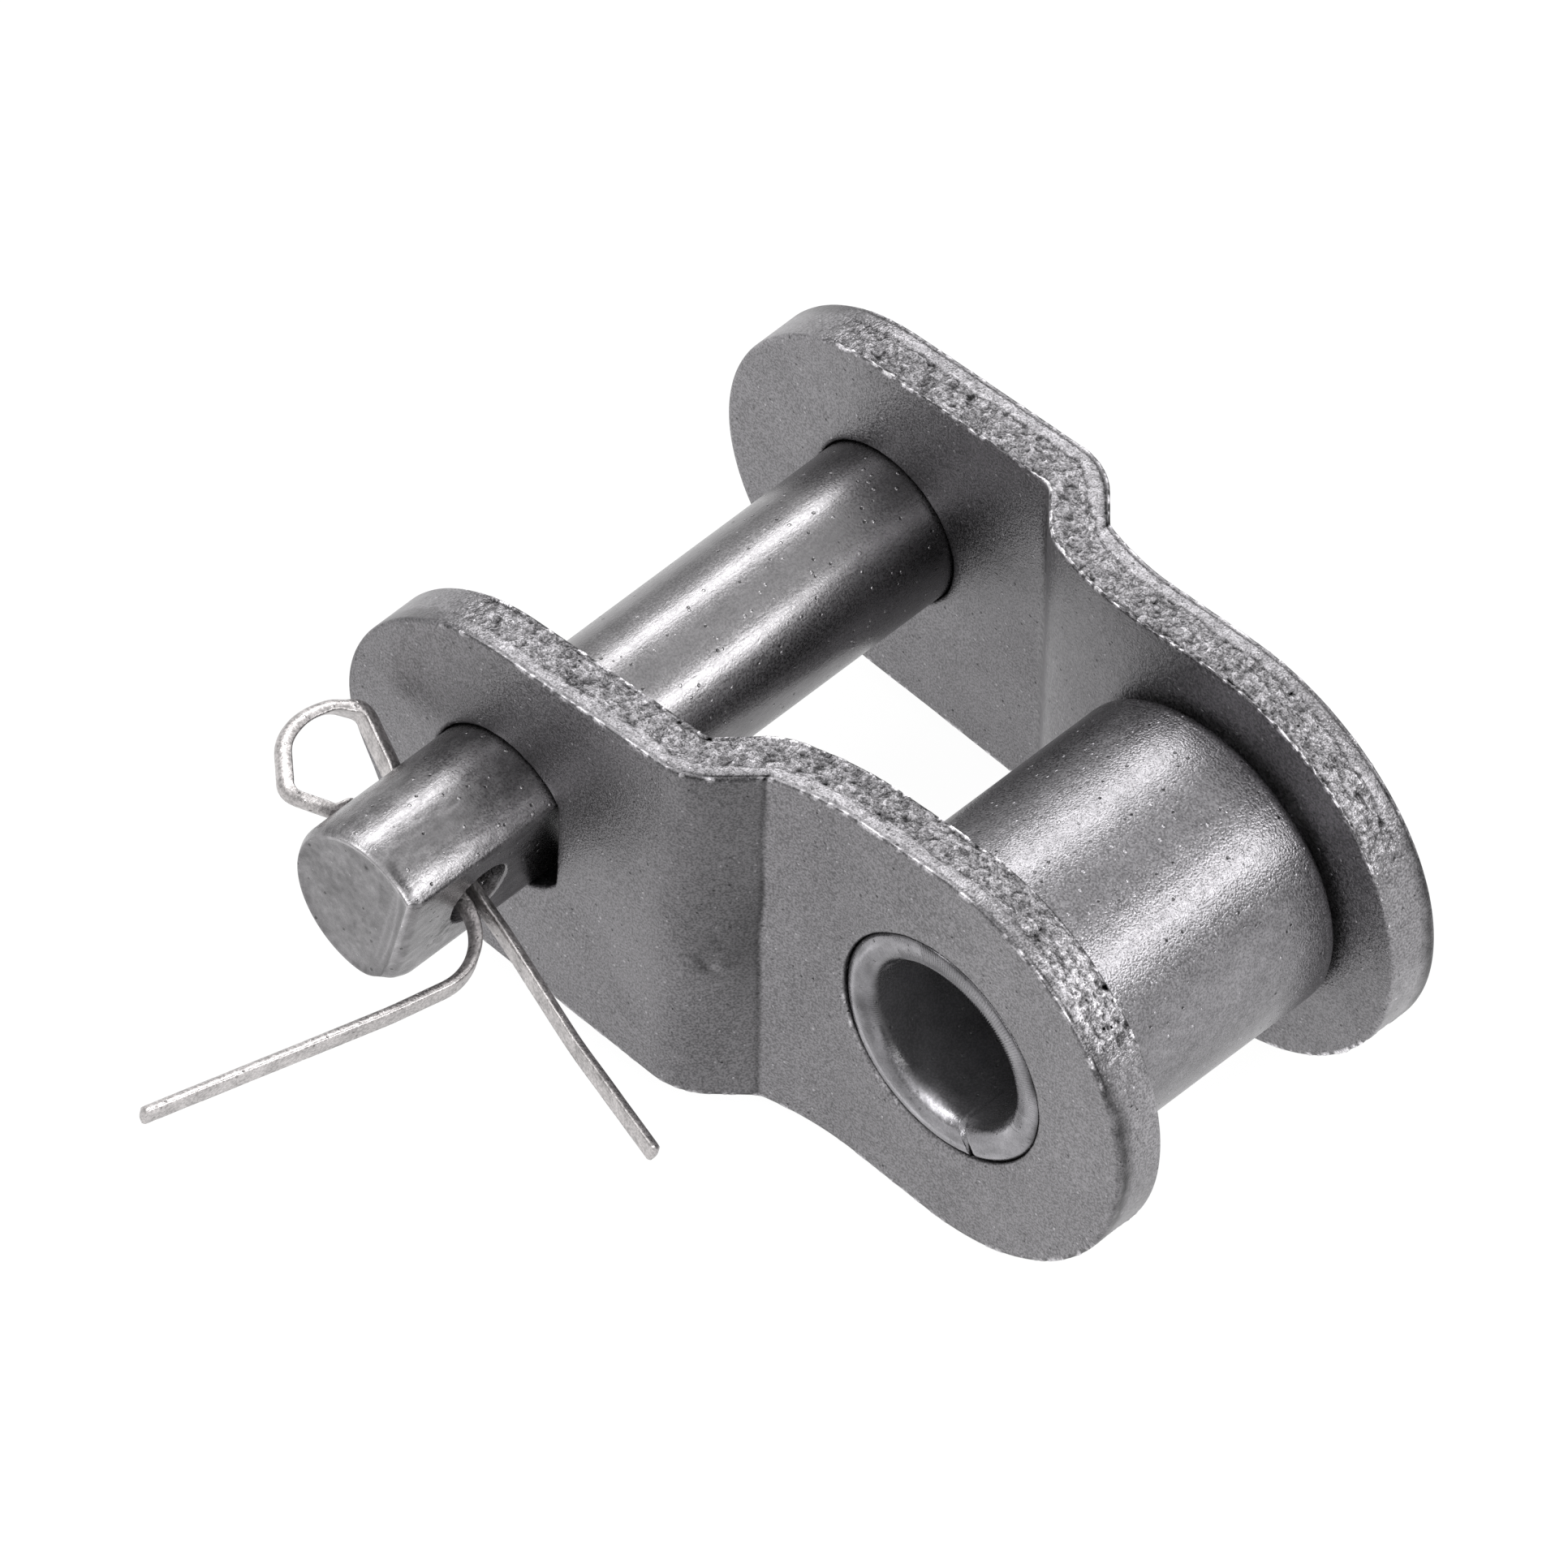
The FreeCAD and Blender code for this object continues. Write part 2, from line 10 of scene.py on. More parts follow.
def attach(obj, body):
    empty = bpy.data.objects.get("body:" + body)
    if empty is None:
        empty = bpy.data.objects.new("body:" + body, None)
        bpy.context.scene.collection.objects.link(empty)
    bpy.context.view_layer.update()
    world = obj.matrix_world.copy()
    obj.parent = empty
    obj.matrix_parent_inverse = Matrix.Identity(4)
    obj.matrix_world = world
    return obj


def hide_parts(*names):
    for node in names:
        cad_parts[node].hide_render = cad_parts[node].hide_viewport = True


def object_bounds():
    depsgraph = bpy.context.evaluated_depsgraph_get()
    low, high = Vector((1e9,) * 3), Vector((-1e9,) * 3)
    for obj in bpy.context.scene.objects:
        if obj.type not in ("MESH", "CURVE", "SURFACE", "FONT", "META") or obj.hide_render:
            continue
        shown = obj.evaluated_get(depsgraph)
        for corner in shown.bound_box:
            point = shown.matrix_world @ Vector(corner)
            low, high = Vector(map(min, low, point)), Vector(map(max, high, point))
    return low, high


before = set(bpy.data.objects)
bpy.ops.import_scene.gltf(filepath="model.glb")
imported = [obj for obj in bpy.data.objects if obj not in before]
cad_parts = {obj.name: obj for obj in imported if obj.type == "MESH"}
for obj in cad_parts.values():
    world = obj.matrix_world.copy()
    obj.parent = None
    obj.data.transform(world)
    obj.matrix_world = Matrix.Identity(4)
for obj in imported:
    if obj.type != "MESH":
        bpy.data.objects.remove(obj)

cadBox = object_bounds()
scene = bpy.context.scene
scene.view_settings.view_transform = "Standard"
mm = 0.001

# Sizes that several pieces share, in millimetres: X from the pin to the bush, Y along the pin.
link = {
    "pitch": 12.7,
    "thickness": 1.45,
    "narrowFace": 5.375,      # outside of the plates at the bush end
    "wideFace": 7.215,        # and at the pin end
    "bushRadius": 3.20,
    "pinRadius": 2.225,
    "pinTurn": 12.5,          # the pin rests turned by this many degrees
    "holeMiddle": -9.38,      # cross hole, along Y
}


# Helpers for shapes

# Uneven numbers from -1 to 1 that hang on the place alone, one lump every "size" mm.
def lumps(points, size, seed):
    cells = np.asarray(points, float) / size + 1000
    low = np.floor(cells).astype(np.int64)
    part = cells - low
    part = part * part * (3 - 2 * part)
    total = np.zeros(len(cells))
    for corner in itertools.product((0, 1), repeat=3):
        place = (low + corner).astype(np.uint64)
        key = place[:, 0] * 374761393 + place[:, 1] * 668265263 + place[:, 2] * 2246822519
        key = (key + seed * 3266489917) % 4294967296
        key = (key ^ (key >> 13)) * 1274126177 % 4294967296
        key = (key ^ (key >> 16)) & 65535
        weight = np.prod(np.where(corner, part, 1 - part), axis=1)
        total += weight * (key / 32767.5 - 1)
    return total


def ease(low, high, value):
    share = np.clip((value - low) / (high - low), 0, 1)
    return share * share * (3 - 2 * share)


def polar(centre, radius, angle):
    angle = np.radians(angle)
    return np.stack([centre[0] + radius * np.cos(angle), centre[1] + radius * np.sin(angle)], -1)


# Corners (x, y, radius) joined by straight runs and arcs, as points no further apart than step.
def roundedRoute(corners, step):
    corners = [(np.array(c[:2], float), c[2] if len(c) > 2 else 0) for c in corners]
    points = [corners[0][0]]
    for (before, _), (here, radius), (after, _) in zip(corners, corners[1:], corners[2:]):
        back, on = before - here, after - here
        back, on = back / np.linalg.norm(back), on / np.linalg.norm(on)
        half = math.acos(np.clip(back @ on, -1, 1)) / 2
        inward = (back + on) / np.linalg.norm(back + on)
        centre = here + inward * radius / math.sin(half)
        first = here + back * radius / math.tan(half)
        last = here + on * radius / math.tan(half)
        start = math.atan2(*(first - centre)[::-1])
        sweep = (math.atan2(*(last - centre)[::-1]) - start + math.pi) % math.tau - math.pi
        count = max(4, int(abs(sweep) * radius / step))
        for angle in np.linspace(start, start + sweep, count):
            points.append(centre + radius * np.array([math.cos(angle), math.sin(angle)]))
    points.append(corners[-1][0])
    points = np.array(points)
    spans = np.linalg.norm(np.diff(points, axis=0), axis=1)
    dense = [points[:1]]
    for here, after, span in zip(points, points[1:], spans):
        count = max(1, math.ceil(span / step))
        dense.append(here + (after - here) * np.arange(1, count + 1)[:, None] / count)
    return np.vstack(dense)


# Four-sided faces between the rows of a grid of points.
def gridFaces(rows, columns, closeRows=False, closeColumns=False):
    faces = []
    for row in range(rows if closeRows else rows - 1):
        above = (row + 1) % rows
        for column in range(columns if closeColumns else columns - 1):
            beside = (column + 1) % columns
            faces.append((row * columns + column, row * columns + beside,
                          above * columns + beside, above * columns + column))
    return faces


# The faces of a run of closed loops, with both ends shut.
def closedRun(loops, around):
    faces = gridFaces(loops, around, closeColumns=True)
    return faces + [tuple(range(around)), tuple(range((loops - 1) * around, loops * around))]


# Parts of one skin joined where their points meet. Each part is (points, faces, marks).
def weld(parts):
    points = np.vstack([part[0] for part in parts])
    marks = np.vstack([part[2] for part in parts])
    _, first, index = np.unique(np.round(points, 4), axis=0, return_index=True,
                                return_inverse=True)
    index = index.ravel()
    faces, offset = [], 0
    for part in parts:
        for face in part[1]:
            corners = []
            for corner in face:
                corner = int(index[corner + offset])
                if corner not in corners:
                    corners.append(corner)
            if len(corners) > 2:
                faces.append(tuple(corners))
        offset += len(part[0])
    return points[first], faces, marks[first]


def newPiece(name, points, faces, node, body, materials, marks=None):
    mesh = bpy.data.meshes.new(name)
    mesh.from_pydata((np.asarray(points) * mm).tolist(), [], faces)
    for key, values in (marks or {}).items():
        mesh.attributes.new(key, "FLOAT", "POINT").data.foreach_set("value", values)
    for material in np.atleast_1d(materials):
        mesh.materials.append(material)
    shape = bpy.data.objects.new(name, mesh)
    scene.collection.objects.link(shape)
    faceOut(mesh)
    mesh.shade_smooth()
    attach(shape, body)
    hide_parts(node)
    return shape


# Turn every face outwards and drop the points that no face uses.
def faceOut(mesh):
    work = bmesh.new()
    work.from_mesh(mesh)
    unused = [corner for corner in work.verts if not corner.link_faces]
    bmesh.ops.delete(work, geom=unused, context="VERTS")
    bmesh.ops.recalc_face_normals(work, faces=work.faces)
    work.to_mesh(mesh)
    work.free()


# Lighter and darker steel, with painted shade and highlights among it: tone is a function of
# places in mm.
def paint(piece, tone, key="tone"):
    places = np.zeros(len(piece.data.vertices) * 3)
    piece.data.vertices.foreach_get("co", places)
    mark = piece.data.attributes.new(key, "FLOAT", "POINT")
    mark.data.foreach_set("value", tone(places.reshape(-1, 3) / mm))


def bell(value, middle, width):
    return np.exp(-((value - middle) / width) ** 2)


# Helpers for materials

# One number out of two, each a socket or a plain number.
def mathNode(tree, kind, first, second):
    node = tree.nodes.new("ShaderNodeMath")
    node.operation = kind
    for socket, value in zip(node.inputs, (first, second)):
        if isinstance(value, (int, float)):
            socket.default_value = value
        else:
            tree.links.new(value, socket)
    return node.outputs["Value"]


# A smooth step from one range of numbers to another.
def rampNode(tree, value, *numbers):
    ramp = tree.nodes.new("ShaderNodeMapRange")
    ramp.interpolation_type = "SMOOTHSTEP"
    for socket, number in zip(("From Min", "From Max", "To Min", "To Max"), numbers):
        ramp.inputs[socket].default_value = number
    tree.links.new(value, ramp.inputs["Value"])
    return ramp.outputs["Result"]


# Steel

# One steel: a fine grain, cloudy patches, dark pits, bright specks and marks along one way.
def steel(name, look):
    material = bpy.data.materials.new(name)
    material.use_nodes = True
    tree = material.node_tree
    nodes, links = tree.nodes, tree.links
    shader = nodes["Principled BSDF"]
    shader.inputs["Metallic"].default_value = 1.0
    place = nodes.new("ShaderNodeTexCoord").outputs["Object"]

    def scaled(stretch):
        mapping = nodes.new("ShaderNodeMapping")
        mapping.inputs["Scale"].default_value = [s / mm for s in stretch]
        links.new(place, mapping.inputs["Vector"])
        return mapping.outputs["Vector"]

    def noise(size, detail=2.0, stretch=(1, 1, 1)):
        texture = nodes.new("ShaderNodeTexNoise")
        texture.inputs["Scale"].default_value = 1 / size
        texture.inputs["Detail"].default_value = detail
        links.new(scaled(stretch), texture.inputs["Vector"])
        return texture.outputs["Fac"]

    def combine(kind, first, second):
        return mathNode(tree, kind, first, second)

    def mark(key):
        node = nodes.new("ShaderNodeAttribute")
        node.attribute_name = key
        return node.outputs["Fac"]

    # cells about "spacing" mm wide: how far from the middle, and each cell's own numbers
    def cells(spacing):
        texture = nodes.new("ShaderNodeTexVoronoi")
        texture.inputs["Scale"].default_value = 1 / spacing
        links.new(scaled((1, 1, 1)), texture.inputs["Vector"])
        own = nodes.new("ShaderNodeSeparateColor")
        links.new(texture.outputs["Color"], own.inputs["Color"])
        return texture.outputs["Distance"], own.outputs

    def varied(value, low, amount):
        return combine("MULTIPLY", rampNode(tree, value, low, 1 - low, -1, 1), amount)

    # one dot to a cell: a pit in some of the cells, a bright speck in others
    def dots(size, low, high):
        return combine("MULTIPLY", rampNode(tree, fromDot, size * 0.5, size, 1, 0),
                       rampNode(tree, chosen["Red"], low, high, 0, 1))

    fromDot, chosen = cells(look["dotSpacing"])
    pit = dots(look["pitSize"], 1 - look["pitShare"], 1.02 - look["pitShare"])
    speck = dots(look["speckSize"], look["speckShare"], look["speckShare"] - 0.02)
    fine = noise(look["grain"], 1.0)
    cloud = noise(look["cloud"], 2.0)
    streak = noise(look["streakWidth"], 1.0, look["streakWay"])

    shade = combine("ADD", varied(fine, 0.3, look["grainShade"]),
                    varied(cloud, 0.25, look["cloudShade"]))
    shade = combine("ADD", shade, varied(streak, 0.3, look["streakShade"]))
    shade = combine("SUBTRACT", combine("ADD", shade, 1.0),
                    combine("MULTIPLY", pit, look["pitShade"]))
    shade = combine("ADD", shade, combine("MULTIPLY", speck, look["speckShade"]))
    height = combine("ADD", combine("MULTIPLY", fine, look["grainDepth"]),
                     combine("MULTIPLY", streak, look["streakDepth"]))
    height = combine("SUBTRACT", height, combine("MULTIPLY", pit, look["pitDepth"]))
    height = combine("ADD", height, combine("MULTIPLY", speck, look["pitDepth"]))
    if "tornDepth" in look:
        # broken facets, each with a shade and a height of its own
        torn = mark("torn")
        _, facets = cells(look["tornGrain"])
        facet = combine("MULTIPLY", torn, varied(facets["Green"], 0, look["tornShade"]))
        shade = combine("ADD", shade, facet)
        broken = combine("ADD", facets["Red"], noise(look["tornGrain"], 2.0))
        broken = combine("MULTIPLY", torn, broken)
        height = combine("ADD", height, combine("MULTIPLY", broken, look["tornDepth"]))
    # the tone mark: real marks, and painted shade and highlights
    shade = combine("MULTIPLY", shade, combine("ADD", mark("tone"), 1.0))
    rough = combine("ADD", varied(fine, 0.3, look["roughnessSpread"]), look["roughness"])

    tint = nodes.new("ShaderNodeMix")
    tint.data_type = "RGBA"
    tint.blend_type = "MULTIPLY"
    tint.inputs["Factor"].default_value = 1.0
    tint.inputs[6].default_value = (*(np.array(look["colour"]) * look["cast"]), 1)
    grey = nodes.new("ShaderNodeCombineColor")
    for socket in ("Red", "Green", "Blue"):
        links.new(shade, grey.inputs[socket])
    links.new(grey.outputs["Color"], tint.inputs[7])
    links.new(tint.outputs[2], shader.inputs["Base Color"])
    links.new(rough, shader.inputs["Roughness"])
    if "dust" in look:
        links.new(combine("SUBTRACT", 1.0, mark("dull")), shader.inputs["Metallic"])
    bump = nodes.new("ShaderNodeBump")
    bump.inputs["Strength"].default_value = 1.0
    bump.inputs["Distance"].default_value = mm
    links.new(height, bump.inputs["Height"])
    links.new(bump.outputs["Normal"], shader.inputs["Normal"])
    return material


baseLook = {
    "cast": (1.022, 1.0, 1.028),    # the photo's steel leans a little to violet
    "grain": 0.055, "grainShade": 0.22, "grainDepth": 0.014,
    "cloud": 2.0, "cloudShade": 0.07, "roughnessSpread": 0.06,
    "streakWidth": 0.3, "streakWay": (1, 1, 1), "streakShade": 0.05, "streakDepth": 0.006,
    "dotSpacing": 0.27, "pitSize": 0.18, "pitShare": 0.35, "pitDepth": 0.012, "pitShade": 0.50,
    "speckSize": 0.18, "speckShare": 0.45, "speckShade": 0.70}
plateSteel = steel("tumbled plate steel", baseLook | {
    "colour": (0.366, 0.364, 0.378), "roughness": 0.34, "grainShade": 0.11, "grainDepth": 0.008})
edgeSteel = steel("sheared edge steel", baseLook | {
    "colour": (0.222, 0.221, 0.224), "roughness": 0.38,
    "grainShade": 0.35, "speckShade": 0.9, "tornGrain": 0.11, "tornDepth": 0.050,
    "tornShade": 0.30})
bushSteel = steel("rolled bush steel", baseLook | {
    "colour": (0.285, 0.285, 0.292), "roughness": 0.27, "grainShade": 0.12, "grainDepth": 0.005,
    "cloud": 0.9, "cloudShade": 0.16, "pitShade": 0.3, "speckShade": 0.2, "dust": True})
rollerSteel = steel("satin roller steel", baseLook | {
    "colour": (0.215, 0.214, 0.218), "roughness": 0.31,
    "grainShade": 0.26, "grainDepth": 0.014, "streakWidth": 0.25, "streakWay": (1, 0.5, 1),
    "streakShade": 0.07,
    "dotSpacing": 0.29, "pitShade": 0.65, "speckShade": 1.0})
pinSteel = steel("drawn pin steel", baseLook | {
    "colour": (0.222, 0.221, 0.221), "roughness": 0.30,
    "grainShade": 0.08, "grainDepth": 0.0035, "cloud": 0.8, "cloudShade": 0.08,
    "streakWidth": 0.08, "streakWay": (1, 0.25, 1), "streakShade": 0.06, "streakDepth": 0.0035,
    "dotSpacing": 0.30, "pitShade": 0.55, "speckShade": 0.45})
cotterSteel = steel("bare cotter wire", baseLook | {
    "colour": (0.46, 0.45, 0.435), "roughness": 0.40, "grain": 0.07, "grainDepth": 0.008,
    "cloud": 0.5, "cloudShade": 0.18, "speckShade": 0.2})
print("steels made")


# Plates

plates = {
    "bushLobe": 5.90, "pinLobe": 5.20,
    "bushHole": 3.19, "pinHole": 2.25,
    "straightSide": 1.80,     # pin axis to the straight side of the near plate's hole
    "bendPlace": -6.78, "innerBend": 0.55,
    "creasePlace": -5.32, "creaseHeight": 5.7743, "creaseRadius": 0.35,
    "easeRadius": 9.0,
    "creaseLine": -5.44,      # painted shade line along the outer crease
    "innerLightLines": -7.32,        # painted highlight and shade lines on the inner side
    "faceInset": 0.60,        # the broad faces start this far from the outline
    "holeInset": 0.30,        # and from the holes
    "gridGap": 0.12,          # their inner points keep off the borders by this much
    "step": 0.05,             # how finely the sheared edge is broken up
    "burnished": 0.42,        # depth from the outer face at which the steel tears
    "tear": 0.032,            # depth of its broken grains
    "burr": 0.022,            # beads along its borders
    "proudest": 0.02,         # nothing stands out further than this
    "wave": 0.012,            # unevenness of the broad faces
    "flatter": 0.53,          # how much the near plate's end is pressed in, below its middle
    "flatterAt": 152, "flatterWidth": 22,          # and where, in degrees
    # painted shade on the outer ramp and in its crease; scuffShade is the darkness of real scuffs
    "paintedRampShade": 0.30, "paintedCreaseShade": 0.45, "scuffShade": 0.22,
    "brightAt": 47,           # bright torn patch at the bush end, in degrees
}


# Heights of a plate's outer and inner side over X, across the crank.
def crankSides():
    thick, outerBend = link["thickness"], plates["innerBend"] + link["thickness"]
    crease, gentle = plates["creaseRadius"], plates["easeRadius"]
    wide, narrow = link["wideFace"], link["narrowFace"]
    foot = np.array([plates["creasePlace"], plates["creaseHeight"]])
    slope = math.degrees(math.acos(1 - (foot[1] - narrow) / gentle))
    easeCentre = polar(foot, gentle, 90 - slope)
    creaseCentre = polar(foot, crease, 90 - slope)
    corner = np.array([plates["bendPlace"], wide])
    reach = np.linalg.norm(creaseCentre - corner)
    down = -math.degrees(math.atan2(*(creaseCentre - corner)[::-1]))
    ramp = down + math.degrees(math.asin(crease / reach))
    rampTop = polar(corner, outerBend * math.tan(math.radians(ramp / 2)), -ramp)
    bendCentre = polar(rampTop, outerBend, 270 - ramp)
    sides = []
    for sink in (0, thick):
        side = np.vstack([
            [[-40, wide - sink]],
            polar(bendCentre, outerBend - sink, np.linspace(90, 90 - ramp, 24)),
            polar(creaseCentre, crease + sink, np.linspace(270 - ramp, 270 - slope, 14)),
            polar(easeCentre, gentle + sink, np.linspace(270 - slope, 270, 24)),
            [[40, narrow - sink]]])
        sides.append(side)
    return sides


# The outline of a plate as places (x, z) with the way outwards at each.
def plateOutline(step):
    pitch, bushLobe, pinLobe = link["pitch"], plates["bushLobe"], plates["pinLobe"]
    touch = 90 + math.degrees(math.asin((bushLobe - pinLobe) / pitch))
    places, ways = [], []
    for centre, radius, first, last in (((0, 0), bushLobe, -touch, touch),
                                        ((-pitch, 0), pinLobe, touch, 360 - touch)):
        count = int(math.radians(last - first) * radius / step)
        angles = np.linspace(first, last, count)
        places.append(polar(centre, radius, angles))
        ways.append(polar((0, 0), 1, angles))
        nextPlace = polar((-pitch, 0), pinLobe, touch) if radius == bushLobe else \
            polar((0, 0), bushLobe, -touch)
        span = np.linalg.norm(nextPlace - places[-1][-1])
        share = np.arange(1, int(span / step))[:, None] / int(span / step)
        places.append(places[-1][-1] + (nextPlace - places[-1][-1]) * share)
        ways.append(np.repeat(ways[-1][-1:], len(share), axis=0))
    return np.vstack(places), np.vstack(ways)


def holeLoop(centre, radius, straight, count):
    angles = np.linspace(0, 360, count, endpoint=False)
    loop = polar((0, 0), 1, angles)
    reach = np.full(count, radius)
    if straight:
        # the straight side, its corners a little rounded
        with np.errstate(divide="ignore"):
            side = np.where(loop[:, 0] > 0.05, straight / np.maximum(loop[:, 0], 0.05), 99)
        blur = 0.03
        reach = -blur * np.log(np.exp(-reach / blur) + np.exp(-side / blur))
    return np.array(centre) + loop * reach[:, None], loop


# Heights over places (x, z) of a plate: share 0 is its outer side, share 1 its inner side.
def lift(flat, share, seed):
    outer, inner = crankSides()
    top = np.interp(flat[:, 0], outer[:, 0], outer[:, 1])
    low = np.interp(flat[:, 0], inner[:, 0], inner[:, 1])
    wave = lumps(np.c_[flat, np.zeros(len(flat))], 2.2, seed) * plates["wave"]
    return top + (low - top) * share + wave


# The sheared edge: a burnished band beside the outer face, then torn steel, beads at both rims.
def edgeBand(outline, outward, straightSide, seed):
    thick, faceInset, burnished = link["thickness"], plates["faceInset"], plates["burnished"]
    # inset from the outline, depth from the outer face
    rounding = [(faceInset, 0), (0.30, 0), (0.14, 0), (0.07, 0.004), (0.03, 0.018),
                (0.010, 0.045), (0, 0.080)]
    edgeRows = rounding + [(0, depth) for depth in np.arange(0.12, thick - 0.10, 0.038)]
    edgeRows += [(inset, thick - depth) for inset, depth in rounding[::-1]]
    upright = np.abs(outward[:, 1])
    # the round ends are rubbed smooth
    rough = np.where(outline[:, 0] < -link["pitch"], ease(0.86, 0.97, upright),
                     ease(0.36, 0.62, upright))
    angle = np.degrees(np.arctan2(-outline[:, 1], outline[:, 0]))
    brightEnd = bell(angle, plates["brightAt"], 14) * (outline[:, 0] > 0) * straightSide
    points, torn, tone = [], [], []
    for inset, depth in edgeRows:
        flat = outline - outward * inset
        at = np.c_[flat[:, 0], lift(flat, depth / thick, seed), flat[:, 1]]
        onBorder = float(inset < 0.1)
        wander = depth + 0.09 * lumps(at, 0.9, seed + 6) + 0.05 * lumps(at, 0.25, seed + 8)
        past = ease(burnished, burnished + 0.08, wander)
        tornShare = past * ease(thick - 0.01, thick - 0.06, depth)
        bandShare = ease(0.10, 0.15, depth) * (1 - past)
        border = bell(depth, 0.025, 0.03) * onBorder
        farBorder = bell(depth, thick - 0.025, 0.03) * onBorder
        groove = bell(depth, 0.105, 0.028) + 0.6 * bell(depth, thick - 0.11, 0.03)
        step = bell(wander, burnished + 0.05, 0.035)
        large, middling = lumps(at, 0.36, seed + 1), lumps(at, 0.16, seed + 2)
        small = lumps(at, 0.08, seed + 3)
        crack = np.abs(lumps(at, 0.30, seed + 9) + 0.3 * middling)
        vein, lip = 1 - ease(0, 0.13, crack), bell(crack, 0.24, 0.08)
        beads = ease(0.0, 0.5, lumps(at, 0.13, seed + 4) + 0.4 * lumps(at, 0.5, seed + 5))
        stripe = ease(2.2, 3.4, outline[:, 0]) * bell(wander, 0.17, 0.13)
        bright = brightEnd * onBorder * ease(0.12, 0.25, wander)
        push = rough * ((0.8 * large + middling + 0.6 * small - 0.9) * plates["tear"] * tornShare
                        + (0.25 * large + 0.3 * small) * plates["tear"] * bandShare
                        - 0.020 * groove - 0.030 * vein * tornShare * (1 - 0.7 * bright)
                        - 0.012 * step + beads * plates["burr"] * (border + farBorder))
        push = np.minimum(push, plates["proudest"])
        at[:, 0] += outward[:, 0] * push
        at[:, 2] += outward[:, 1] * push
        points.append(at)
        torn.append(rough * (tornShare + 0.3 * bandShare))
        mottle = 0.30 * middling + 0.30 * small + 0.15 * large
        # painted shade in the cracks, the grooves and the tear's step, painted highlights on the
        # crack lips and the burr beads, among real mottle
        tornMottleAndPaintedLight = tornShare * (1.2 * mottle - 0.10 - 0.45 * vein * (1 - 0.8 * bright)
                                + 0.22 * lip)
        bandMottleAndShade = bandShare * (0.06 + 0.8 * mottle) - 0.55 * groove - 0.35 * step
        beadGlints = border * (2.4 * beads - 0.4) + farBorder * (4.5 * beads - 0.3)
        brightTone = bright * (0.35 + 0.7 * small + 0.5 * middling)
        rubbedTone = 0.10 * (large + middling) + 0.12 - 0.30 * ease(0.55, 0.35, wander)
        tone.append(rough * (tornMottleAndPaintedLight + bandMottleAndShade + beadGlints + brightTone)
                    + onBorder * ((1 - rough) * rubbedTone - 0.50 * stripe))
    faces = gridFaces(len(edgeRows), len(outline), closeColumns=True)
    return np.vstack(points), faces, np.c_[np.concatenate(torn), np.concatenate(tone)]


# Walls of the two holes with painted shade, their rims a little broken, painted glints standing
# for burr beads on the bush hole's rim, and the loops where the faces meet them.
def holeWalls(straightSide, seed):
    thick, holeInset = link["thickness"], plates["holeInset"]
    wallRows = [(holeInset, 0), (0.12, 0.004), (0.05, 0.03), (0.012, 0.07), (0, 0.13), (0, 0.5)]
    wallRows += [(outset, thick - depth) for outset, depth in wallRows[::-1]]
    straight = plates["straightSide"] if straightSide else None
    parts, loops = [], []
    for centre, radius, side, count in (((0, 0), plates["bushHole"], None, 260),
                                        ((-link["pitch"], 0), plates["pinHole"], straight, 220)):
        loop, away = holeLoop(centre, radius, side, count)
        angle = np.degrees(np.arctan2(*away.T[::-1])) * (-1 if straightSide else 1)
        forBush = radius == plates["bushHole"]
        rows, tones = [], []
        for outset, depth in wallRows:
            flat = loop + away * outset
            nick = lumps(np.c_[flat, np.full(count, depth)], 0.25, seed + 7)[:, None] * 0.012
            if 0 < outset < holeInset:
                flat = flat + away * nick
            rows.append(np.c_[flat[:, 0], lift(flat, depth / thick, seed), flat[:, 1]])
            # painted shade on the hole walls, and painted glints standing for burr beads along
            # the bush hole's rim
            beads = ease(0.1, 0.5, lumps(rows[-1], 0.17, seed + 4)) * bell(angle, -135, 45)
            tones.append(np.full(count, (-0.65 if forBush else -0.35) * (outset < 0.02))
                         + beads * 1.5 * (outset == 0.05) * forBush)
        loops.append(loop + away * holeInset)
        parts.append((np.vstack(rows), gridFaces(len(rows), count, closeColumns=True),
                      np.c_[np.zeros(len(rows) * count), np.concatenate(tones)]))
    return parts, loops


def plateSkin(straightSide, seed):
    outline, outward = plateOutline(plates["step"])
    if straightSide:
        # the near plate's end is a little flatter below
        angle = np.degrees(np.arctan2(outline[:, 1], outline[:, 0] + link["pitch"]))
        apart = (angle - plates["flatterAt"] + 180) % 360 - 180
        press = plates["flatter"] * bell(apart, 0, plates["flatterWidth"])
        outline = outline - outward * press[:, None]
    walls, holes = holeWalls(straightSide, seed)
    parts = [edgeBand(outline, outward, straightSide, seed)] + walls
    # the two broad faces
    flat, triangles = faceGrid(outline - outward * plates["faceInset"], holes)
    for share in (0, 1):
        at = np.c_[flat[:, 0], lift(flat, share, seed), flat[:, 1]]
        parts.append((at, triangles, np.zeros((len(flat), 2))))
    points, faces, marks = weld(parts)
    marks[:, 1] += crankShadeAndScuffs(points, turned=straightSide)
    return points, faces, marks
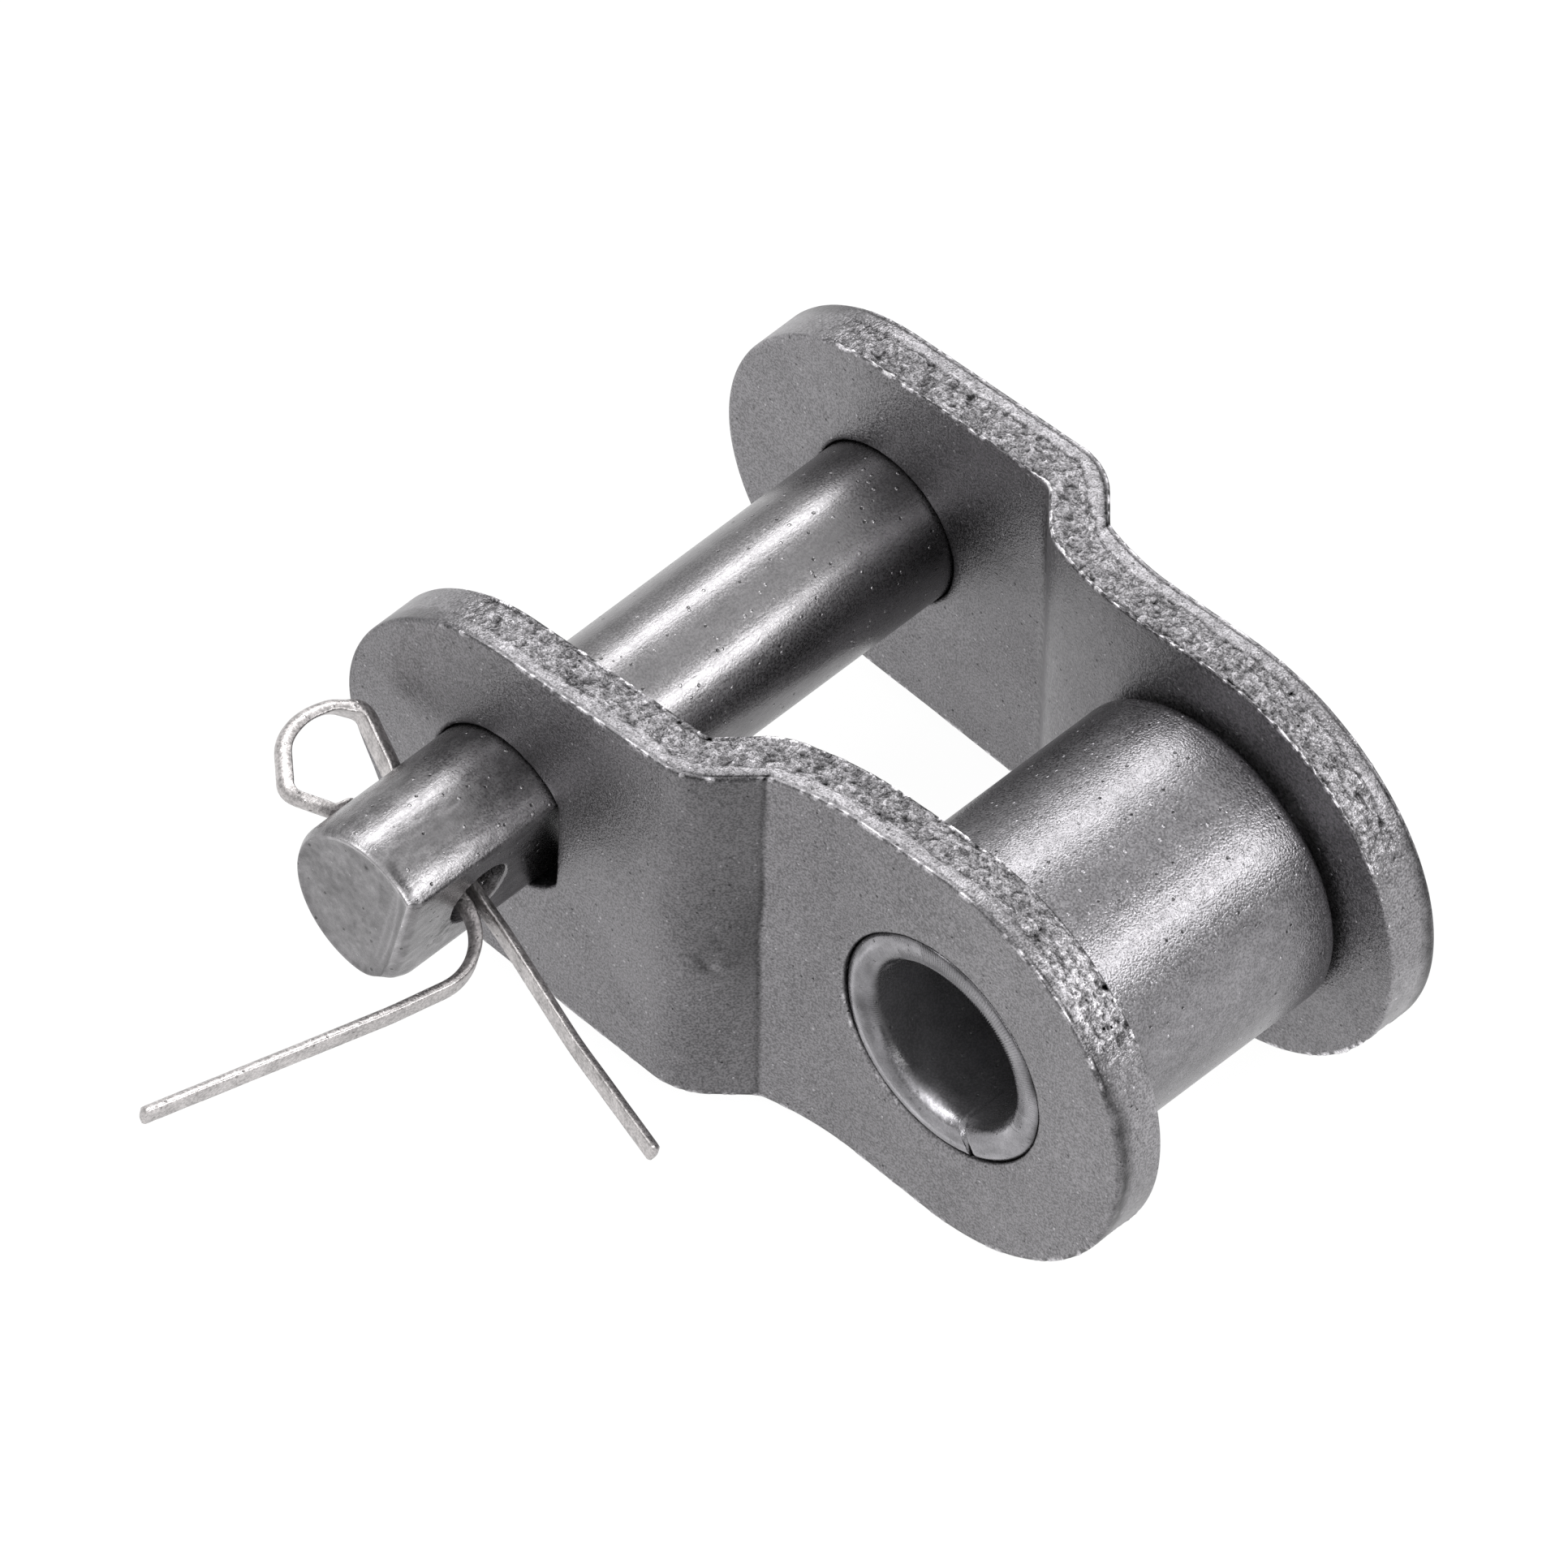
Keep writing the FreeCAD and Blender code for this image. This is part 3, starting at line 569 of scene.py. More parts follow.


# Painted shade where the crank was pressed and along its crease, painted highlight and shade
# lines on the inner side, real scuffs, and painted shade of the pin's reflection.
def crankShadeAndScuffs(points, turned):
    x, y, z = points.T
    outer, inner = crankSides()
    top = np.interp(x, outer[:, 0], outer[:, 1])
    low = np.interp(x, inner[:, 0], inner[:, 1])
    onOuter = ease(0.75, 0.9, (y - low) / (top - low))
    onInner = 1 - ease(0.1, 0.25, (y - low) / (top - low))
    height = -z if turned else z
    wobble = lumps(np.c_[z, z * 0, z * 0], 1.6, 71)
    crease = plates["creaseLine"] + 0.05 * wobble
    before = ease(crease + 0.08, crease - 0.04, x)
    ramp = ease(-8.1, -6.1, x) * before
    scuffs = plates["scuffShade"] + 0.60 * lumps(np.c_[x * 0.4, y, z], 0.13, 72)
    # painted shade on the ramp, before its crease and in it, scuffs beside it, painted shade at
    # the pin end and a painted dark reflection of the pin beside it
    outerShadeAndScuffs = -(ramp * (plates["paintedRampShade"] + 0.16 * ease(-2.5, 1.5, height))
                  + 0.22 * ease(-6.4, -5.6, x) * before * bell(height, -0.6, 2.0)
                  + plates["paintedCreaseShade"] * bell(x, crease, 0.05) * (0.75 + 0.25 * wobble)
                  + scuffs * bell(x, -6.3, 0.40) * bell(height, -0.75, 0.65)
                  + 0.14 * bell(np.hypot(x + 15.0, height - 2.6), 0, 4.5)
                  + 0.24 * bell(np.hypot(x + 9.9, height - 3.2), 0, 1.7))
    # painted highlight across the inner ramp, a painted highlight line beside a painted shade
    # line, and a painted dark reflection of the pin
    step = plates["innerLightLines"] + 0.05 * wobble
    innerPaintedLight = (0.22 * ease(-7.4, -7.2, x) * ease(-5.0, -6.6, x)
                 + 0.60 * bell(x, step + 0.09, 0.06) - 0.35 * bell(x, step - 0.03, 0.05)
                 - 0.30 * bell(np.hypot(x + 9.6, height - 1.6), 0, 1.5))
    return onOuter * outerShadeAndScuffs + onInner * innerPaintedLight


# Triangles inside the rim and outside the holes, closely spaced across the crank.
def faceGrid(rim, holes):
    # first x, last x and spacing
    runs = ((-18, -8.2, 0.3), (-8.2, -5.8, 0.10), (-5.8, -5.1, 0.035), (-5.1, -2.4, 0.2),
            (-2.4, 6, 0.3))
    acrossX = np.concatenate([np.arange(*run) for run in runs])
    grid = np.array([(x, z) for i, x in enumerate(acrossX)
                     for z in np.arange(-6, 6, 0.3) + 0.15 * (i % 2)])
    pitch = link["pitch"]
    margin = plates["faceInset"] + plates["gridGap"]
    slope = (plates["bushLobe"] - plates["pinLobe"]) / pitch
    steep = math.sqrt(1 - slope * slope)
    between = grid[:, 0] * slope + np.abs(grid[:, 1]) * steep < plates["bushLobe"] - margin
    inBush = np.hypot(grid[:, 0], grid[:, 1]) < plates["bushLobe"] - margin
    inPin = np.hypot(grid[:, 0] + pitch, grid[:, 1]) < plates["pinLobe"] - margin
    span = (grid[:, 0] < 0.3) & (grid[:, 0] > -pitch - 0.3)
    keep = inBush | inPin | (between & span)
    for hole in holes:
        middle = hole.mean(0)
        centre = np.array([0.0 if middle[0] > -6 else -pitch, 0.0])
        reach = np.hypot(*(hole - centre).T)
        angle = np.degrees(np.arctan2(*(grid - centre).T[::-1])) % 360
        angles = np.linspace(0, 360, len(reach), endpoint=False)
        limit = np.interp(angle, angles, reach, period=360)
        keep &= np.hypot(*(grid - centre).T) > limit + plates["gridGap"]
    grid = grid[keep]
    loops = [rim] + holes
    corners, edges = [], []
    for loop in loops:
        start = len(corners)
        corners += [Vector(p) for p in loop.tolist()]
        edges += [(start + i, start + (i + 1) % len(loop)) for i in range(len(loop))]
    border = len(corners)
    corners += [Vector(p) for p in grid.tolist()]
    found, _, triangles, _, _, _ = geometry.delaunay_2d_cdt(corners, edges, [], 1, 1e-7)
    flat = np.array([(v.x, v.y) for v in found])
    if len(flat) == len(corners):
        flat[:border] = np.vstack(loops)
    return flat, [tuple(corners) for corners in triangles
                  if not any(insideLoop(flat[list(corners)].mean(0), hole) for hole in holes)]


# Above 0 for the points of the sheared edge, within 0.05 mm of the outline.
def rimShare(points):
    pitch, slope = link["pitch"], (plates["bushLobe"] - plates["pinLobe"]) / link["pitch"]
    x, height = points[:, 0], np.abs(points[:, 2])
    steep = math.sqrt(1 - slope * slope)
    straight = height * steep - plates["bushLobe"] + slope * -x
    straight = np.where((x < 0.32) & (x > -pitch + 0.29), straight, -9)
    return np.maximum.reduce([straight, np.hypot(x, height) - plates["bushLobe"],
                              np.hypot(x + pitch, height) - plates["pinLobe"]]) + 0.05


def insideLoop(place, loop):
    after = np.roll(loop, -1, axis=0)
    crosses = (loop[:, 1] > place[1]) != (after[:, 1] > place[1])
    with np.errstate(divide="ignore", invalid="ignore"):
        at = loop[:, 0] + (place[1] - loop[:, 1]) / (after[:, 1] - loop[:, 1]) \
            * (after[:, 0] - loop[:, 0])
    return np.count_nonzero(crosses & (place[0] < at)) % 2 == 1


for node, straightSide, turned, seed in (("far_plate", False, False, 11),
                                         ("near_plate", True, True, 37)):
    points, faces, marks = plateSkin(straightSide, seed)
    if turned:
        points = points * (1, -1, -1)
    skin = newPiece(node + "_skin", points, faces, node, "link_frame",
                    [plateSteel, edgeSteel], {"torn": marks[:, 0], "tone": marks[:, 1]})
    onEdge = rimShare(points) > 0
    skin.data.polygons.foreach_set("material_index", [any(onEdge[c] for c in f) for f in faces])
    print(node, "made:", len(faces), "faces")


# Bush, with its seam open by a hair

bush = {
    "bore": 2.275, "half": 5.375,
    "lip": 0.46, "bevel": 0.04,
    "around": 240,            # sections round the bush
    # where the joint with the plate opens: middle and half width in degrees, depth
    "gaps": [(180, 55, 0.26), (-55, 38, 0.20), (-110, 30, 0.10)],
    "seamAngle": 286.0, "seamWidth": 0.07,
    "seamBow": 6.0,           # degrees the seam wanders across the wall
    "dust": 0.8,              # how far the bore has lost its shine
    "paintedBoreShade": -0.78,        # painted shade: how dark the bore is
    "glint": 2.3,             # painted glint streak inside the lower lip
}


def arcPoints(centre, radius, first, last, count):
    return [tuple(p) for p in polar(centre, radius, np.linspace(first, last, count))]


# A closed section (radius, y) of a tube, its edges rounded.
def tubeSection(bore, outside, half, lip, bevel):
    section = arcPoints((bore + lip, half - lip), lip, 180, 90, 9)
    section += [(r, half) for r in np.linspace(bore + lip, outside - bevel, 4)[1:-1]]
    section += arcPoints((outside - bevel, half - bevel), bevel, 90, 0, 7)
    section += [(outside, y) for y in np.arange(half - bevel - 0.06, bevel - half, -0.09)]
    section += arcPoints((outside - bevel, bevel - half), bevel, 0, -90, 7)
    section += [(r, -half) for r in np.linspace(outside - bevel, bore + lip, 4)[1:-1]]
    section += arcPoints((bore + lip, lip - half), lip, -90, -180, 9)
    section += [(bore, y) for y in np.linspace(-half * 0.85, half * 0.85, 9)]
    return np.array(section)


def bushSection(angle):
    bevel = bush["bevel"]
    for middle, width, depth in bush["gaps"]:
        apart = (angle - middle + 180) % 360 - 180
        bevel += depth * math.exp(-(apart / width) ** 2)
    return tubeSection(bush["bore"], link["bushRadius"], bush["half"], bush["lip"], bevel)


def bushSkin():
    middle = (bush["bore"] + link["bushRadius"]) / 2
    rows = []
    shares = np.concatenate([[0, 0.0006, 0.002], np.linspace(0.006, 0.994, bush["around"]),
                             [0.998, 0.9994, 1]])
    for share in shares:
        near = min(share, 1 - share)
        section = bushSection(bush["seamAngle"] + share * 360)
        shrink = 0.03 * (1 - ease(0, 0.003, near))      # the lips of the seam are rounded
        radii = section[:, 0] + (middle - section[:, 0]) * shrink
        gap = np.degrees(bush["seamWidth"] / 2 / radii)
        bow = bush["seamBow"] * np.sin((radii - bush["bore"]) * 2.2)
        fade = np.cos(np.pi * share) ** 2
        angles = np.radians(bush["seamAngle"] + bow * fade + gap + share * (360 - 2 * gap))
        ys = section[:, 1] * (1 - 0.004 * shrink / 0.03)
        rows.append(np.c_[radii * np.cos(angles), ys, radii * np.sin(angles)])
    return np.vstack(rows), closedRun(len(rows), len(section))


points, faces = bushSkin()
bushPiece = newPiece("bush_skin", points, faces, "bush", "link_frame", bushSteel)


# Painted shade in the bore and in the gap round the outside, a painted glint streak inside the
# lower lip, painted highlight lines and shade on the ends, and mottle.
def bushShadeGlintsAndMottle(points):
    x, y, z = points.T
    bore = bush["bore"]
    reach, angle = np.hypot(x, z), np.degrees(np.arctan2(z, x))
    ends = ease(bush["half"] - 0.50, bush["half"] - 0.40, np.abs(y))
    low = bell(angle, -95, 15)
    inside = 1 - ease(bore + 0.04, bore + 0.16, reach)
    streak = low * bell(reach, bore + 0.11, 0.07) * ends
    tone = bush["paintedBoreShade"] * inside * (1 - 0.7 * low * ends)
    tone += streak * (bush["glint"] + 1.6 * lumps(points, 0.11, 21))
    left = np.cos(np.radians(angle - 190))
    # painted highlight lines and painted shade on the ends, to the left and to the right, and
    # mottle
    tone += ends * (0.70 * bell(reach, bore + 0.62, 0.035) * ease(-0.2, 0.6, left)
                    - 0.42 * bell(reach, bore + 0.30, 0.25) * ease(0.1, 0.9, left)
                    + 0.30 * bell(reach, bore + 0.20, 0.05) * ease(0.0, -0.8, left)
                    + 0.14 * lumps(points, 0.5, 22)
                    + 0.22 * lumps(np.c_[reach * 3, angle * 0.03, y * 0], 0.3, 23))
    # painted shade in the gap round the outside
    tone -= 0.6 * ease(link["bushRadius"] - 0.12, link["bushRadius"] - 0.02, reach) * ends
    return np.maximum(tone, -0.8)


# Oil and dust in the bore take away its shine.
def boreDust(points):
    reach = np.hypot(points[:, 0], points[:, 2])
    return bush["dust"] * (1 - ease(bush["bore"] + 0.02, bush["bore"] + 0.10, reach))


paint(bushPiece, bushShadeGlintsAndMottle)
paint(bushPiece, boreDust, "dull")
print("bush made:", len(faces), "faces")


# Roller

roller = {
    "bore": 3.24, "outside": 4.255, "half": 3.775,
    "rounding": 0.30, "lip": 0.12,
    "around": 300,            # sections round the roller
    "uneven": 0.003,
    "toolMark": 0.42,         # its place from either end
    "markShade": 0.28,
}


def rollerSkin():
    section = tubeSection(roller["bore"], roller["outside"], roller["half"], roller["lip"],
                          roller["rounding"])
    count, uneven = roller["around"], roller["uneven"]
    rows = []
    for angle in np.radians(np.linspace(0, 360, count, endpoint=False)):
        cos, sin = math.cos(angle), math.sin(angle)
        at = np.c_[section[:, 0] * cos, section[:, 1], section[:, 0] * sin]
        radii = section[:, 0] - uneven + lumps(at, 1.6, 5) * uneven
        rows.append(np.c_[radii * cos, section[:, 1], radii * sin])
    return np.vstack(rows), gridFaces(count, len(section), True, True)


points, faces = rollerSkin()
rollerPiece = newPiece("roller_skin", points, faces, "roller", "roller",
                       rollerSteel)


# A tool mark near each end and rubbed edges.
def rollerTone(points):
    x, y, z = points.T
    fromEnd = roller["half"] - np.abs(y) + 0.04 * lumps(np.c_[x, z, x * 0], 1.5, 31)
    broken = ease(-0.3, 0.3, lumps(points, 0.9, 32))
    line = roller["toolMark"]
    tone = 0.12 * bell(fromEnd, line - 0.09, 0.05)
    tone -= roller["markShade"] * bell(fromEnd, line, 0.035) * broken
    return tone + 0.12 * lumps(points, 0.15, 33) + 0.05 * lumps(points, 0.7, 34)


paint(rollerPiece, rollerTone)
print("roller made:", len(faces), "faces")


# The pin's own frame: along its flat's normal, along Y, and across both

turn = math.radians(link["pinTurn"])
flatWay = np.array([math.cos(turn), 0, -math.sin(turn)])
acrossWay = np.array([math.sin(turn), 0, math.cos(turn)])


def withPin(along, y, across):
    along, y, across = np.broadcast_arrays(along, y, across)
    place = along[..., None] * flatWay + across[..., None] * acrossWay
    place[..., 1] = y
    place[..., 0] -= link["pitch"]
    return place


pin = {
    "nearEnd": -12.0, "farEnd": 8.0,
    "farBevel": 0.30,
    "around": 288,            # places round the pin
    "flatHeight": 1.42,       # pin axis to the flat
    "shoulder": -5.72,        # where the flat stops
    "crossHole": 0.90,
    "upperCorner": 0.05, "lowerCorner": 0.20,      # rounding of the flat's two long edges
    "chip": 0.20,             # taken off the flat's lower corner at the near end
    "rimGlint": 0.75,         # painted highlight on the near end's rim
    "farShade": 0.38,         # painted shade where the barrel enters the far plate
}


def softLeast(first, second, blur):
    gap = np.clip(0.5 + 0.5 * (second - first) / blur, 0, 1)
    return second + (first - second) * gap - blur * gap * (1 - gap)


def pinSkin():
    near, far, radius = pin["nearEnd"], pin["farEnd"], link["pinRadius"]
    shoulder, bevel = pin["shoulder"], pin["farBevel"]
    sides = [(0.02, near + 0.03)] + [(r, near + 0.03) for r in np.arange(0.12, 1.95, 0.08)]
    sides += [(1.98, near + 0.022), (2.02, near + 0.005), (2.055, near), (2.085, near + 0.012),
              (2.10, near + 0.04), (2.15, near + 0.11), (2.19, near + 0.18),
              (2.215, near + 0.25), (radius, near + 0.32)]
    sides += [(radius, y) for y in np.arange(near + 0.4, shoulder - 0.1, 0.08)]
    sides += [(radius, shoulder + s) for s in (-0.06, -0.02, 0, 0.02, 0.05)]
    sides += [(radius, y) for y in np.arange(shoulder + 0.2, far - 0.5, 0.4)]
    sides += arcPoints((radius - bevel, far - bevel), bevel, 0, 90, 8)
    sides += [(1.2, far), (0.6, far), (0.02, far)]
    count = pin["around"]
    angles = np.radians(np.linspace(-180, 180, count, endpoint=False))
    rows = []
    for reach, y in sides:
        onFlat = 1 - ease(shoulder - 0.03, shoulder + 0.01, y)
        height = pin["flatHeight"] - 0.10 * (1 - ease(near, near + 0.25, y)) + (1 - onFlat) * 2
        corner = np.where(angles > 0, pin["upperCorner"], pin["lowerCorner"])
        limit = height / np.maximum(np.cos(angles), 0.02)
        limits = softLeast(np.full(count, radius), limit, corner)
        # the flat's lower corner is knocked off towards the end
        chip = pin["chip"] * bell(np.degrees(angles), -52, 14) * (1 - ease(near, near + 0.8, y))
        reaches = limits * reach / radius - chip * min(reach, 2.0) / 2
        rows.append(withPin(reaches * np.cos(angles), y, reaches * np.sin(angles)))
    return np.vstack(rows), closedRun(len(rows), count)


points, faces = pinSkin()
pinPiece = newPiece("link_pin_skin", points, faces, "link_pin", "pin", pinSteel)


# Bore the cross hole with a drill that is taken away afterwards.
def drill(piece, radius):
    count = 64
    rows = []
    for along, reach in ((-3.0, radius + 0.9), (-2.26, radius + 0.03), (-2.18, radius),
                         (1.36, radius), (1.43, radius + 0.03), (3.0, radius + 1.2)):
        angles = np.radians(np.linspace(0, 360, count, endpoint=False))
        rows.append(withPin(along, link["holeMiddle"] + reach * np.cos(angles),
                            reach * np.sin(angles)))
    cutter = bpy.data.meshes.new("drill")
    cutter.from_pydata((np.vstack(rows) * mm).tolist(), [], closedRun(len(rows), count))
    faceOut(cutter)
    tool = bpy.data.objects.new("drill", cutter)
    scene.collection.objects.link(tool)
    cut = piece.modifiers.new("cross hole", "BOOLEAN")
    cut.operation = "DIFFERENCE"
    cut.solver = "EXACT"
    cut.object = tool
    bpy.context.view_layer.update()
    done = bpy.data.meshes.new_from_object(piece.evaluated_get(
        bpy.context.evaluated_depsgraph_get()))
    piece.modifiers.clear()
    piece.data = done
    bpy.data.objects.remove(tool)
    done.shade_smooth()


drill(pinPiece, pin["crossHole"])


# Painted highlight on the near end's rim on its lit side, painted shade on a facet beside it and
# where the barrel enters the plates, and marks on the end, the barrel and the flat.
def pinMarksAndPaintedLight(points):
    y = points[:, 1]
    middle = points - (-link["pitch"], 0, 0)
    along, across = middle @ flatWay, middle @ acrossWay
    reach, angle = np.hypot(along, across), np.degrees(np.arctan2(across, along))
    near = pin["nearEnd"]
    onEnd = 1 - ease(near + 0.032, near + 0.045, y)
    border = np.minimum(link["pinRadius"] - reach, pin["flatHeight"] - along)
    rim = ease(0.26, 0.20, border) * ease(near + 0.06, near + 0.03, y)
    lit = ease(-75, -40, angle) * ease(150, 115, angle)
    tone = rim * (pin["rimGlint"] * lit + 0.1) * (1 + 0.4 * lumps(points, 0.25, 44))
    # painted shade on a facet beside the rim
    tone -= 0.65 * ease(near + 0.05, near + 0.09, y) * ease(near + 0.30, near + 0.22, y) \
        * bell(angle, 66, 15)
    bowed = along + 0.05 * across ** 2
    arc = bell(bowed, 1.02, 0.035) + 0.6 * bell(along, 0.78, 0.05)
    tone += onEnd * (0.36 * arc * ease(-1.6, -0.6, across) - 0.22 * bell(bowed, 1.18, 0.08)
                     + 0.12 * lumps(points, 0.5, 45)
                     + 0.28 * lumps(points, 0.14, 48) * ease(0.9, 0.4, along) - 0.10)
    # painted shade where the barrel enters the plates
    tone -= 0.18 * ease(-8.2, -7.2, y) * ease(-5.7, -5.8, y) + pin["farShade"] * ease(4, 5.7, y)
    tone += 0.28 * lumps(points * (1, 0.5, 1), 0.12, 47) * ease(-6.5, -8.0, y) * (1 - onEnd)
    tone -= onEnd * 0.8 * bell(np.hypot(along + 0.20, across - 1.62), 0, 0.07)
    onFlat = ease(0.06, 0.02, pin["flatHeight"] - along) * (y < pin["shoulder"])
    patch = bell(y, link["holeMiddle"] - 1.0, 0.45) * bell(across, -0.6, 0.55)
    tone += onFlat * patch * (0.9 * lumps(points, 0.13, 46) - 0.2)
    return np.maximum(tone, -0.9)


paint(pinPiece, pinMarksAndPaintedLight)
print("pin made:", len(pinPiece.data.polygons), "faces")


# Cotter: one half-round wire, its flat side turned to the inside of the loop

cotter = {
    "width": 0.60, "depth": 0.31,
    "corner": 0.05,
    "flatInside": 0.145,      # the wire's middle line to its flat side
    "swell": 0.13,            # the eye's upper side is thicker by this
    "turn": 26.0,             # and the eye is twisted by this many degrees
    # the wire's middle line: along the cross hole, along Y from its middle, bend radius
    "route": [(9.30, -1.815), (5.9, -1.16, 12), (2.6, -0.30, 12), (-2.30, 0.74, 0.15),
              (-3.96, 1.40, 0.42), (-4.58, 0.96, 0.7), (-4.80, 0.10, 1.6), (-4.60, -0.75, 1.2),
              (-3.46, -1.74, 0.45), (-2.40, -1.165, 0.2), (-2.28, -0.76, 0.12),
              (3.26, -0.35, 1.75), (2.52, -4.08, 10), (0.83, -10.79)],
}


def wireSection(width, depth, corner):
    half = width / 2
    angles = np.radians(np.linspace(-90, 90, 17))
    section = [(max(depth * math.cos(a), 0.0), half * math.sin(a)) for a in angles]
    section[0], section[-1] = (corner * 0.6, -half + corner * 0.1), \
        (corner * 0.6, half - corner * 0.1)
    section = [(0, corner - half)] + section + [(0, half - corner)]
    section += [(0, side) for side in np.linspace(half - corner, corner - half, 6)[1:-1]]
    section = np.array(section)
    section[:, 0] -= cotter["flatInside"]
    return section


def cotterSkin():
    line = roundedRoute(cotter["route"], 0.09)
    ways = np.gradient(line, axis=0)
    ways /= np.linalg.norm(ways, axis=1)[:, None]
    outward = np.c_[ways[:, 1], -ways[:, 0]]
    lengths = np.concatenate([[0], np.cumsum(np.linalg.norm(np.diff(line, axis=0), axis=1))])
    total = lengths[-1]
    rows = []
    for place, way, out, length in zip(line, ways, outward, lengths):
        fromTip = min(length, total - length)
        shrink = 1 - 0.35 * (1 - ease(0, 0.12, fromTip)) ** 2
        inEye = ease(-2.0, -2.5, place[0])
        swell = cotter["swell"] * ease(-4.5, -4.05, place[0]) * inEye * (place[1] > 0)
        section = wireSection(cotter["width"] * shrink, cotter["depth"] * shrink + swell,
                              cotter["corner"])
        # the section's width turned from across the pin, yet square to the wire
        turned = math.radians(cotter["turn"] * inEye)
        wide = np.array([math.sin(turned), 0, math.cos(turned)])
        tangent = np.array([way[0], way[1], 0])
        wide -= tangent * (wide @ tangent)
        wide /= np.linalg.norm(wide)
        thick = np.cross(wide, tangent)
        thick *= np.sign(thick[:2] @ out)
        local = section[:, :1] * thick + section[:, 1:] * wide
        at = withPin(place[0] + local[:, 0], link["holeMiddle"] + place[1] + local[:, 1],
                     local[:, 2])
        at = at + (lumps(at, 0.5, 3) * 0.008)[:, None] * acrossWay
        rows.append(at)
    return np.vstack(rows), closedRun(len(rows), len(rows[0]))


points, faces = cotterSkin()
newPiece("cotter_pin_skin", points, faces, "cotter_pin", "pin", cotterSteel)
print("cotter made:", len(faces), "faces")


# Floor, surroundings, lamps and camera

studio = {
    "floorColour": 0.88, "floorRoughness": 0.8,
    "floorShade": 0.06,       # how much of the floor's own shade shows
    "mirroredShade": 0.25,    # and how much of it shows in the steel
    "white": 1.03,
    "above": 1.05, "horizon": 0.55, "skyTop": 0.75,
    # way to it, width, length, brightness
    "lamps": [((-0.50, 0.15, 0.70), 0.18, 1.4, 6.6), ((0.68, 0.05, 0.55), 0.18, 1.6, 8.0)],
    "lampDistance": 0.8,
    "lampsMiddle": (-0.006, 0, 0),
}


# The kinds of ray, and 1 for the rays that show the background itself.
def raysOf(tree):
    rays = tree.nodes.new("ShaderNodeLightPath").outputs
    return rays, mathNode(tree, "MAXIMUM", rays["Is Camera Ray"], rays["Is Transmission Ray"])


def blend(tree, share, first, second, output):
    mix = tree.nodes.new("ShaderNodeMixShader")
    for socket, value in zip(mix.inputs, (share, first, second)):
        tree.links.new(value, socket)
    tree.links.new(mix.outputs["Shader"], tree.nodes[output].inputs["Surface"])


def buildFloor():
    low = cadBox[0][2]
    mesh = bpy.data.meshes.new("floor")
    mesh.from_pydata([(-3, -3, low), (3, -3, low), (3, 3, low), (-3, 3, low)], [], [(0, 1, 2, 3)])
    floor = bpy.data.objects.new("floor", mesh)
    scene.collection.objects.link(floor)
    material = bpy.data.materials.new("pale floor")
    material.use_nodes = True
    tree = material.node_tree
    shader = tree.nodes["Principled BSDF"]
    shader.inputs["Base Color"].default_value = (*[studio["floorColour"]] * 3, 1)
    shader.inputs["Roughness"].default_value = studio["floorRoughness"]
    rays, seen = raysOf(tree)
    plain = mathNode(tree, "MULTIPLY", seen, 1 - studio["floorShade"])
    mirrored = mathNode(tree, "MULTIPLY", rays["Is Glossy Ray"], 1 - studio["mirroredShade"])
    white = tree.nodes.new("ShaderNodeEmission")
    white.inputs["Strength"].default_value = studio["white"]
    blend(tree, mathNode(tree, "MAXIMUM", plain, mirrored), shader.outputs["BSDF"],
          white.outputs["Emission"], "Material Output")
    mesh.materials.append(material)


